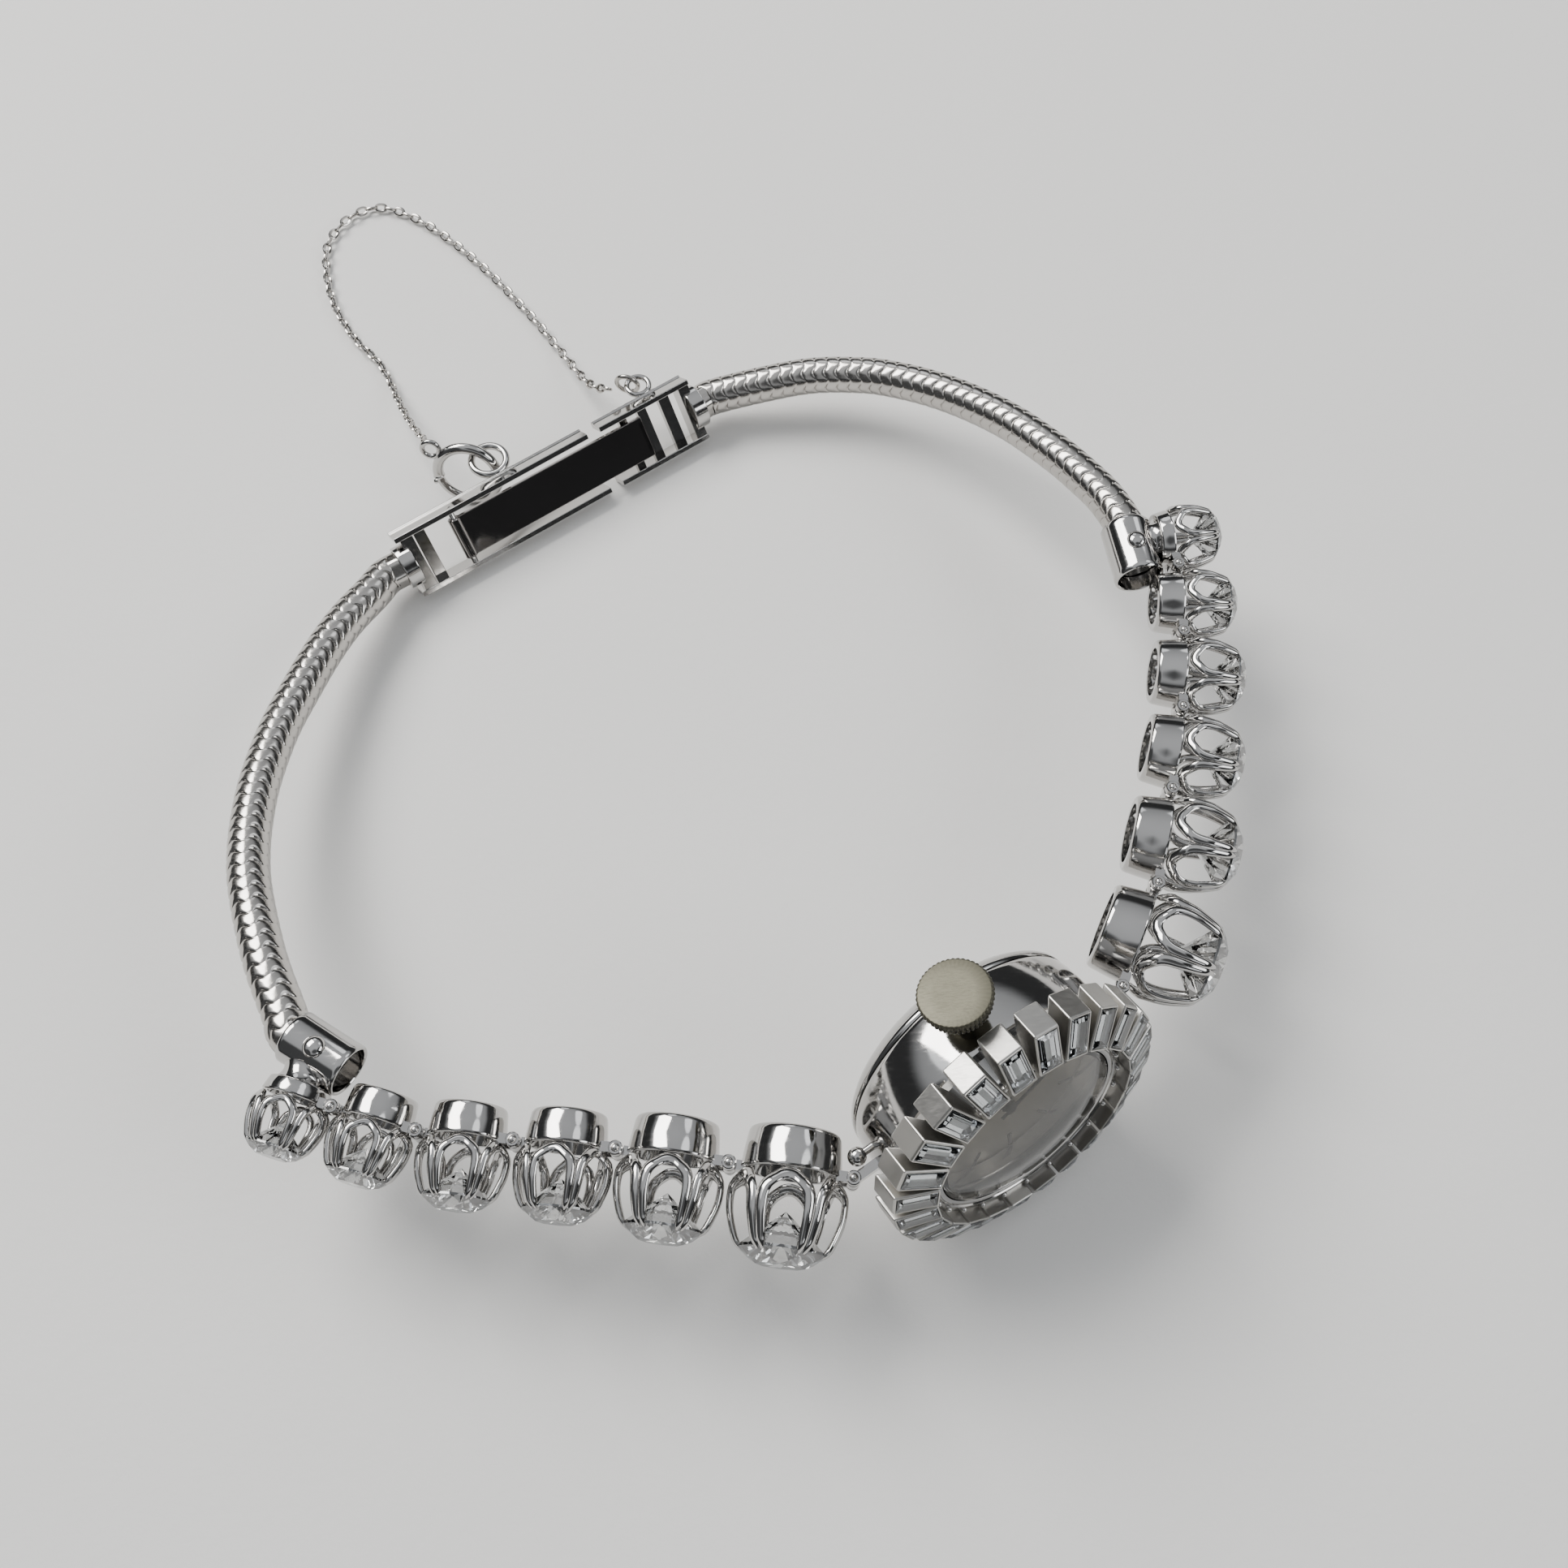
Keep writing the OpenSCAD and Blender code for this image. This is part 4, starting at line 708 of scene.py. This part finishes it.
# Snake chains. Rings of waved plate, pressed together into a round, smooth rope;
# each ring's edge waves round the chain, and opens a little at the troughs.
def snake(route, waves=6, pitch=0.8, radius=1.2, groove=0.10):
    """Rings along the route: s = s_k + 0.13 w cos(n a) and r = R - f g (0.55 + 0.45 cos(n a + 0.6)).

    n is the number of waves, g the groove, f the profile of one ring, and w is 1 but for the ends.
    """
    fine, length = evenly(smooth_route(route, 24), 900)
    count = int((length - 2.4) / pitch)
    first = (length - count * pitch) / 2
    along = np.linspace(0, length, 900)
    profile = np.array([(0.0, 1.0), (0.05, 0.45), (0.12, 0.10), (0.30, 0.0),
                        (0.60, 0.0), (0.82, 0.12), (0.93, 0.45), (0.98, 1.0)])
    inner = (first + pitch * (np.arange(count)[:, None] + profile[:, 0])).ravel()
    s = np.concatenate([[0.0, first * 0.98], inner, [length - first * 0.98, length]])
    deep = np.concatenate([[1.0, 1.0], np.tile(profile[:, 1], count), [1.0, 1.0]])
    wave = np.concatenate([[0.0, 0.4], np.ones(count * len(profile)), [0.4, 0.0]])
    a = np.arange(48) * 2 * np.pi / 48
    place = s[:, None] + 0.13 * wave[:, None] * np.cos(waves * a)
    opening = groove * (0.55 + 0.45 * np.cos(waves * a + 0.6))
    r = radius - deep[:, None] * opening
    p = np.stack([np.interp(place, along, fine[:, k]) for k in range(3)], -1)
    t = unit(np.stack([np.interp(place, along, np.gradient(fine[:, k])) for k in range(3)], -1))
    side = unit(np.cross(t, np.array([0, 0, 1.0])))
    top = np.cross(side, t)
    out = np.cos(a)[:, None] * side + np.sin(a)[:, None] * top
    return skin(p + r[..., None] * out, capped=True)


chain_route = {
    "left": [(-24.25, -16.95, 7.65), (-25.85, -13.7, 7.4), (-27.35, -9.75, 6.8), (-28.0, -7.1, 6.3),
             (-28.3, -4.35, 5.75), (-28.3, -1.8, 5.25), (-27.95, 1.4, 4.6), (-27.3, 4.15, 4.05),
             (-26.35, 7.4, 3.45), (-25.35, 9.95, 2.95), (-24.05, 12.25, 2.5)],
    "right": [(22.45, 16.25, 7.45), (21.15, 18.25, 7.1), (19.75, 20.15, 6.7), (17.4, 22.8, 6.1),
              (14.95, 24.9, 5.5), (12.4, 26.6, 4.9), (9.75, 27.9, 4.3), (7.65, 28.55, 3.9),
              (4.35, 28.95, 3.35), (1.0, 28.65, 2.8)]}
for row, clasp_end, sign in (("left", 0.5, -1), ("right", 21.9, 1)):
    way_in = plan(hood_turn[row])
    ends = [clasp_start + clasp_turn @ np.array([clasp_end + sign * out, 0, 0]) for out in (2, 1, 0)]
    route = [hood_middle[row] + out * way_in for out in (0.9, -1.25, -2.15)] + chain_route[row] + ends
    piece(f"{row}_snake_rope", [snake(route)], f"{row}_link_1", chain_gold, sharp=50,
          instead=(f"{row}_snake_chain",))


# Case. A turned band with a rolled lower edge and a domed back that snaps on, and a
# lug on each side that takes the last link's pin.
head_face = turn("z", head_turn) @ turn("x", 90 - head_lean)
stem_z = -0.95


def on_head(parts):
    """Parts from the head's own frame, with the dial's normal along Z and the winding crown along Y."""
    return moved(parts, head_face, head_middle)


band_profile = [(6.6, -2.6), (7.02, -2.6), (7.10, -2.56), (7.16, -2.45), (7.18, -2.30), (7.22, -2.05),
                (7.27, -1.5), (7.30, -0.85), (7.28, -0.2), (7.24, 0.45), (7.2, 0.78), (7.14, 0.9),
                (6.6, 0.9), (6.6, -0.48), (6.3, -0.48), (6.3, -1.18), (6.6, -1.48)]
band = lathe(band_profile, 160, closed=True)
stem_turn = turn("z", 5.5)
collar = moved(moved([tube(0.75, 0.31, 0, 1.9, 40)], turn("x", -90), (0, 7.0, stem_z)), stem_turn)
lug_parts = []
for sign in (-1, 1):
    arm = sorted((sign * 7.05, sign * 8.5))
    lug_parts += [block((arm[0], hinge_back - 0.25, -barrel_half), (arm[1], hinge_back + 0.25, barrel_half))]
knuckle = tube(barrel_r, barrel_bore, -barrel_half, barrel_half, 28)
lug_parts += moved([knuckle], to=(-lug_reach, hinge_back, 0))
a = np.radians(np.linspace(168, 294, 16) - head_turn)
arc = np.stack([np.cos(a), np.sin(a)], 1)
cradle = np.concatenate([barrel_r * arc, (barrel_bore + 0.02) * arc[::-1]])
rows = [np.pad(cradle, ((0, 0), (0, 1)), constant_values=z) for z in (-barrel_half, barrel_half)]
half_points, half_faces = skin(np.stack(rows))
n = len(arc)
half_caps = [[k, 2 * n - 1 - k, 2 * n - 2 - k, k + 1] for k in range(n - 1)]
half_caps += [[2 * n + v for v in face[::-1]] for face in half_caps]
lug_parts += moved([(half_points, half_faces.tolist() + half_caps)], to=(lug_reach, hinge_back, 0))
a = np.radians(np.linspace(-90, 90, 19))
ball = lathe(0.5 * np.stack([np.cos(a), np.sin(a)], 1), 36)
stalk = moved([tube(0.22, 0.05, 0, 1.3, 20)], turn("y", 90))
lug_parts += moved([ball] + stalk, to=(-8.08, 1.24, 1.09))
band_parts = on_head([band] + collar) + moved(lug_parts, turn("z", head_turn), head_middle)
piece("case_band_turned", band_parts, "head", white_gold, instead=("case_band",))
back_profile = [(0, -4.3), (2.4, -4.3), (3.9, -4.28), (4.7, -4.19), (5.4, -4.05), (6.1, -3.80), (6.6, -3.50),
                (6.95, -3.18), (7.07, -3.0), (7.12, -2.85), (7.13, -2.72), (7.08, -2.63), (6.55, -2.6),
                (6.5, -2.85), (5.4, -3.5), (4, -3.9), (0, -3.9)]
piece("case_back_dome", on_head([lathe(back_profile, 128)]), "head", white_gold,
      instead=("case_back",))


# Bezel. A turned ring round the crystal, with a wreath of open boxes that slope
# outwards, one for each baguette stone, and small beads between their inner ends.
box_in, box_front, box_rise, box_w, box_wall = 6.15, 2.55, 0.85, 1.5, 0.16
slope = np.arctan2(box_rise, bezel_r - box_in)
front_length = (bezel_r - box_in) / np.cos(slope)


def stone_box(pocket=0.5):
    """A block as wide as one stone's box, with a pocket of that depth in its sloping front."""
    edge = [(box_in, 1.9), (bezel_r, box_low), (bezel_r, box_front), (box_in, box_front + box_rise)]
    points = [(x, y, z) for y in (-box_w / 2, box_w / 2) for x, z in edge]
    down, out = np.array([np.cos(slope), 0, -np.sin(slope)]), np.array([np.sin(slope), 0, np.cos(slope)])
    corner = np.array([box_in, 0, box_front + box_rise])
    wide = np.array([0, box_w / 2 - box_wall, 0])
    near, far = box_wall, front_length - box_wall
    for depth in (0, pocket):
        for s, y in ((near, -1), (far, -1), (far, 1), (near, 1)):
            points.append(tuple(corner + s * down + y * wide - depth * out))
    faces = [[0, 3, 2, 1], [4, 5, 6, 7], [0, 1, 5, 4], [1, 2, 6, 5], [0, 4, 7, 3], [3, 8, 9, 2],
             [2, 9, 10, 6], [6, 10, 11, 7], [7, 11, 8, 3], [8, 12, 13, 9], [9, 13, 14, 10],
             [10, 14, 15, 11], [11, 15, 12, 8], [12, 15, 14, 13]]
    return np.array(points), faces


def baguette():
    """A step-cut stone for one pocket: two steps up from the girdle to the table, two down to the keel."""
    length, wide = front_length - 2 * box_wall - 0.02, box_w - 2 * box_wall - 0.02
    rows = []
    for z, e in ((-0.48, 0.42), (-0.26, 0.24), (-0.02, 0.0), (0.02, 0.0), (0.07, 0.14), (0.12, 0.26)):
        x, y = length / 2 - 0.8 * e, wide / 2 - e
        rows.append([(-x, -y, z), (x, -y, z), (x, y, z), (-x, y, z)])
    points, faces = skin(np.array(rows))
    points = points + (box_wall + 0.01 + length / 2, 0, 0)
    n = len(points)
    faces = faces.tolist() + [[3, 2, 1, 0], [n - 4, n - 3, n - 2, n - 1]]
    return points @ turn("y", np.degrees(slope)).T + (box_in, 0, box_front + box_rise), faces


stone_count, stone_turn, bead_turn, bead_r = 24, 3.5, 11, 5.95
bead = lathe([(0, 0.17), (0.10, 0.14), (0.155, 0.07), (0.17, 0), (0.15, -0.12), (0, -0.2)], 12)
boxes, baguettes, beads = [], [], []
for k in range(stone_count):
    angle = 360 / stone_count * k
    boxes += moved([stone_box()], turn("z", angle + stone_turn))
    baguettes += moved([baguette()], turn("z", angle + stone_turn))
    beads += moved([bead], to=bead_r * plan(angle + bead_turn) + (0, 0, 2.66))
ring_profile = [(5.05, 0.9), (7.2, 0.9), (7.4, 1.4), (6.45, 2.3), (6.2, 2.52), (5.95, 2.6), (5.80, 2.6),
                (5.74, 2.52), (5.68, 2.52), (5.62, 2.6), (5.50, 2.6), (5.40, 2.56), (5.35, 2.45),
                (5.35, 1.7), (5.05, 1.7)]
ring = lathe(ring_profile, 160, closed=True)
satin_gold = metal("satin_white_gold", (0.42, 0.41, 0.39), (0.53, 0.52, 0.495), 0.30, 0.42, mark_size=1400.0)
piece("bezel_boxes", on_head(boxes), "head", satin_gold, bevel=0.11, instead=("bezel",))
piece("bezel_ring", on_head([ring] + beads), "head", white_gold, instead=("bezel",))
pale_stone = gem("pale_baguette", (0.62, 0.67, 0.71), 1.77, 0.04)
piece("baguette_wreath", on_head(baguettes), "head", pale_stone, sharp=2,
      instead=("bezel_baguettes",))


# Crystal. A moulded dome of clear acrylic, a little brown with age, with fine
# scratches and a polished rim.
def dome(radius, low, high, wall, rise=1.1):
    """An arc of radius (r^2 + h^2) / 2h on a straight rim, then the same arc one wall further in."""
    big = (radius**2 + rise**2) / (2 * rise)
    centre, inside = high + rise - big, radius - wall
    a = np.arcsin(np.linspace(0, 1, 22) * radius / big)
    b = np.arcsin(np.linspace(1, 0, 22) * inside / (big - wall))
    outer = np.stack([big * np.sin(a), centre + big * np.cos(a)], 1)
    inner = np.stack([(big - wall) * np.sin(b), centre + (big - wall) * np.cos(b)], 1)
    rim = [(radius, high - 0.05), (radius, low + 0.05), (radius - 0.05, low), (inside + 0.05, low),
           (inside, low + 0.05)]
    return np.concatenate([outer, rim, inner])


acrylic, tree = fresh_material("aged_acrylic")
on = put(tree, "ShaderNodeTexCoord").outputs["Object"]
cloud = noise(tree, on, 350.0, 6.0, 0.7)
spread = put(tree, "ShaderNodeVectorMath", {0: on, 1: (1.0, 9.0, 1.0)}, operation="MULTIPLY")
scratch = noise(tree, spread.outputs[0], 1800.0, 3.0)
show(tree, {
    "Base Color": between(tree, cloud, (0.64, 0.625, 0.60), (0.52, 0.505, 0.47)),
    "Roughness": ramp(tree, scratch, 0.55, 0.8, 0.01, 0.12), "IOR": 1.49, "Transmission Weight": 1.0})
crystal = lathe(dome(radius=5.33, low=1.7, high=2.55, wall=0.4), 128)
piece("crystal_dome", on_head([crystal]), "head", acrylic, instead=("crystal",))


# Dial and hands. A silvered dial with a sunray finish, twelve applied batons and
# slim, pointed hands of blackened steel.
silvered, tree = fresh_material("silvered_dial")
on = put(tree, "ShaderNodeTexCoord").outputs["Object"]
lift = put(tree, "ShaderNodeVectorMath", {0: on, 1: tuple(head_middle * 0.001)}, operation="SUBTRACT")
east, north = [put(tree, "ShaderNodeVectorMath", {0: lift.outputs[0], 1: tuple(head_face[:, k])},
                   operation="DOT_PRODUCT").outputs["Value"] for k in (0, 1)]
heading = put(tree, "ShaderNodeMath", {0: north, 1: east}, operation="ARCTAN2").outputs[0]
rays = put(tree, "ShaderNodeTexNoise", {"W": heading, "Scale": 38.0, "Detail": 4.0},
           noise_dimensions="1D").outputs["Fac"]
show(tree, {
    "Base Color": between(tree, rays, (0.55, 0.53, 0.49), (0.74, 0.72, 0.67)), "Metallic": 0.8,
    "Roughness": ramp(tree, rays, 0.3, 0.7, 0.28, 0.5)})
plate_top, dial_top, dial_r, baton_end = 0.42, 0.8, 6.45, 5.05
disc_parts = on_head([lathe([
    (0.36, plate_top), (dial_r - 0.05, plate_top), (dial_r, plate_top + 0.05), (dial_r, dial_top - 0.05),
    (dial_r - 0.05, dial_top), (0.40, dial_top), (0.36, dial_top - 0.04)], 128, closed=True)])
piece("dial_disc", disc_parts, "head", silvered, instead=("dial",))
blackened = metal("blackened_steel", (0.03, 0.03, 0.035), (0.07, 0.07, 0.08), 0.12, 0.3)
batons = []
for h in range(12):
    length, wide = (1.1, 0.16) if h % 3 else (1.3, 0.26)
    baton = block((baton_end - length, -wide / 2, dial_top), (baton_end, wide / 2, dial_top + 0.08))
    batons += moved([baton], turn("z", 30 * h))
piece("hour_batons", on_head(batons), "head", blackened, bevel=0.02, instead=("dial",))


def pointed_hand(length, wide, z, hub, bore, pipe, heading):
    """A slim blade, 0.6 times as wide at the top as at the bottom, on a hub with a pipe through the dial."""
    outline = np.array([(-wide / 2, -0.7), (wide / 2, -0.7), (wide * 0.75, length * 0.5), (0, length),
                        (-wide * 0.75, length * 0.5)])
    low = np.pad(outline, ((0, 0), (0, 1)), constant_values=0)
    high = np.pad(outline * (0.6, 0.97), ((0, 0), (0, 1)), constant_values=0.09)
    made = moved([skin(np.stack([low, high]), capped=True)], turn("z", heading), (0, 0, z))
    made += moved([tube(hub, bore, 0, 0.11, 28)], to=(0, 0, z))
    return made + [tube(pipe, bore, plate_top + 0.02, z + 0.1, 28)]


hour = pointed_hand(length=2.6, wide=0.26, z=0.95, hub=0.42, bore=0.20, pipe=0.30, heading=52)
piece("hour_pointer", on_head(hour), "hour_hand", blackened, instead=("hour_hand",))
minute = pointed_hand(length=4.0, wide=0.22, z=1.2, hub=0.36, bore=0.12, pipe=0.15, heading=-62)
cannon = pin(0.16, plate_top + 0.02, 1.36, dome=0.4)
piece("minute_pointer", on_head(minute + [cannon]), "minute_hand", blackened,
      instead=("minute_hand",))


# Winding crown. A thin turned button with two rows of fine milled beads round its
# edge and a flat satin face, on a steel stem. Its champagne colour is painted very dark,
# as painted shade for the dark reflections on its face.
def milled_button(reach, radius, thick, notches=46):
    """r(a, z) = r(z) - 0.10 c(z) (1 - |cos(n a / 2)|), where c is the share of the cut at that height."""
    a = np.arange(notches * 6) * 2 * np.pi / (notches * 6)
    tooth = 0.10 * (1 - np.abs(np.cos(notches * a / 2)))
    shape = [(0.42, 0, 0), (radius - 0.45, 0, 0), (radius - 0.30, 0.04, 0.5), (radius - 0.20, 0.12, 1),
             (radius - 0.13, 0.26, 1.3), (radius - 0.12, 0.50, 1.3), (radius - 0.20, 0.62, 1),
             (radius - 0.26, 0.68, 0.2), (radius - 0.24, 0.74, 0.2), (radius - 0.04, 0.80, 0.6),
             (radius, 0.86, 0.7), (radius, 1.06, 0.7), (radius - 0.03, 1.13, 0.6),
             (radius - 0.09, thick - 0.015, 0.2), (radius - 0.16, thick, 0), (radius * 0.5, thick, 0),
             (0, thick, 0)]
    rows = []
    for r, z, cut in shape:
        rr = r - cut * tooth
        rows.append(np.stack([rr * np.cos(a), rr * np.sin(a), np.full(len(a), z)], 1))
    rows.insert(0, rows[0] * (0.67, 0.67, 1))
    inner = rows[0] + (0, 0, 0.9)
    points, faces = skin(np.stack([0 * inner + (0, 0, 0.9), inner] + rows))
    return moved(moved([(points, faces)], turn("x", -90), (0, reach, stem_z)), stem_turn)


# Painted shade: the champagne tone is made nearly black, so the button looks as dark as the dark reflections
# on its face.
shaded_champagne = metal("champagne_button_painted_shade", (0.085, 0.081, 0.062), (0.115, 0.11, 0.084), 0.42, 0.52,
                  mark_size=2600.0, relief=0.06)
button = milled_button(reach=8.9, radius=1.9, thick=1.2)
piece("milled_crown", on_head(button), "crown", shaded_champagne, instead=("winding_crown",))


# Movement. Gilt brass plates and wheels of a small hand-wound calibre with steel
# stem, lever and fork, all inside the case; their solids are right as they are.
steel = metal("ground_steel", (0.42, 0.42, 0.43), (0.55, 0.55, 0.56), 0.18, 0.34, mark_size=2000.0)
brass = metal("gilt_brass", (0.66, 0.47, 0.20), (0.80, 0.60, 0.28), 0.18, 0.34, mark_size=1500.0)
steel_names = ("winding_stem", "setting_lever", "pallet_fork")
brass_names = ("movement_plate", "train_bridge", "mainspring_barrel", "centre_wheel", "third_wheel",
               "fourth_wheel", "escape_wheel", "balance_wheel")
for material, names in ((steel, steel_names), (brass, brass_names)):
    for name in names:
        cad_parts[name].data.materials.clear()
        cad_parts[name].data.materials.append(material)

bpy.context.view_layer.update()
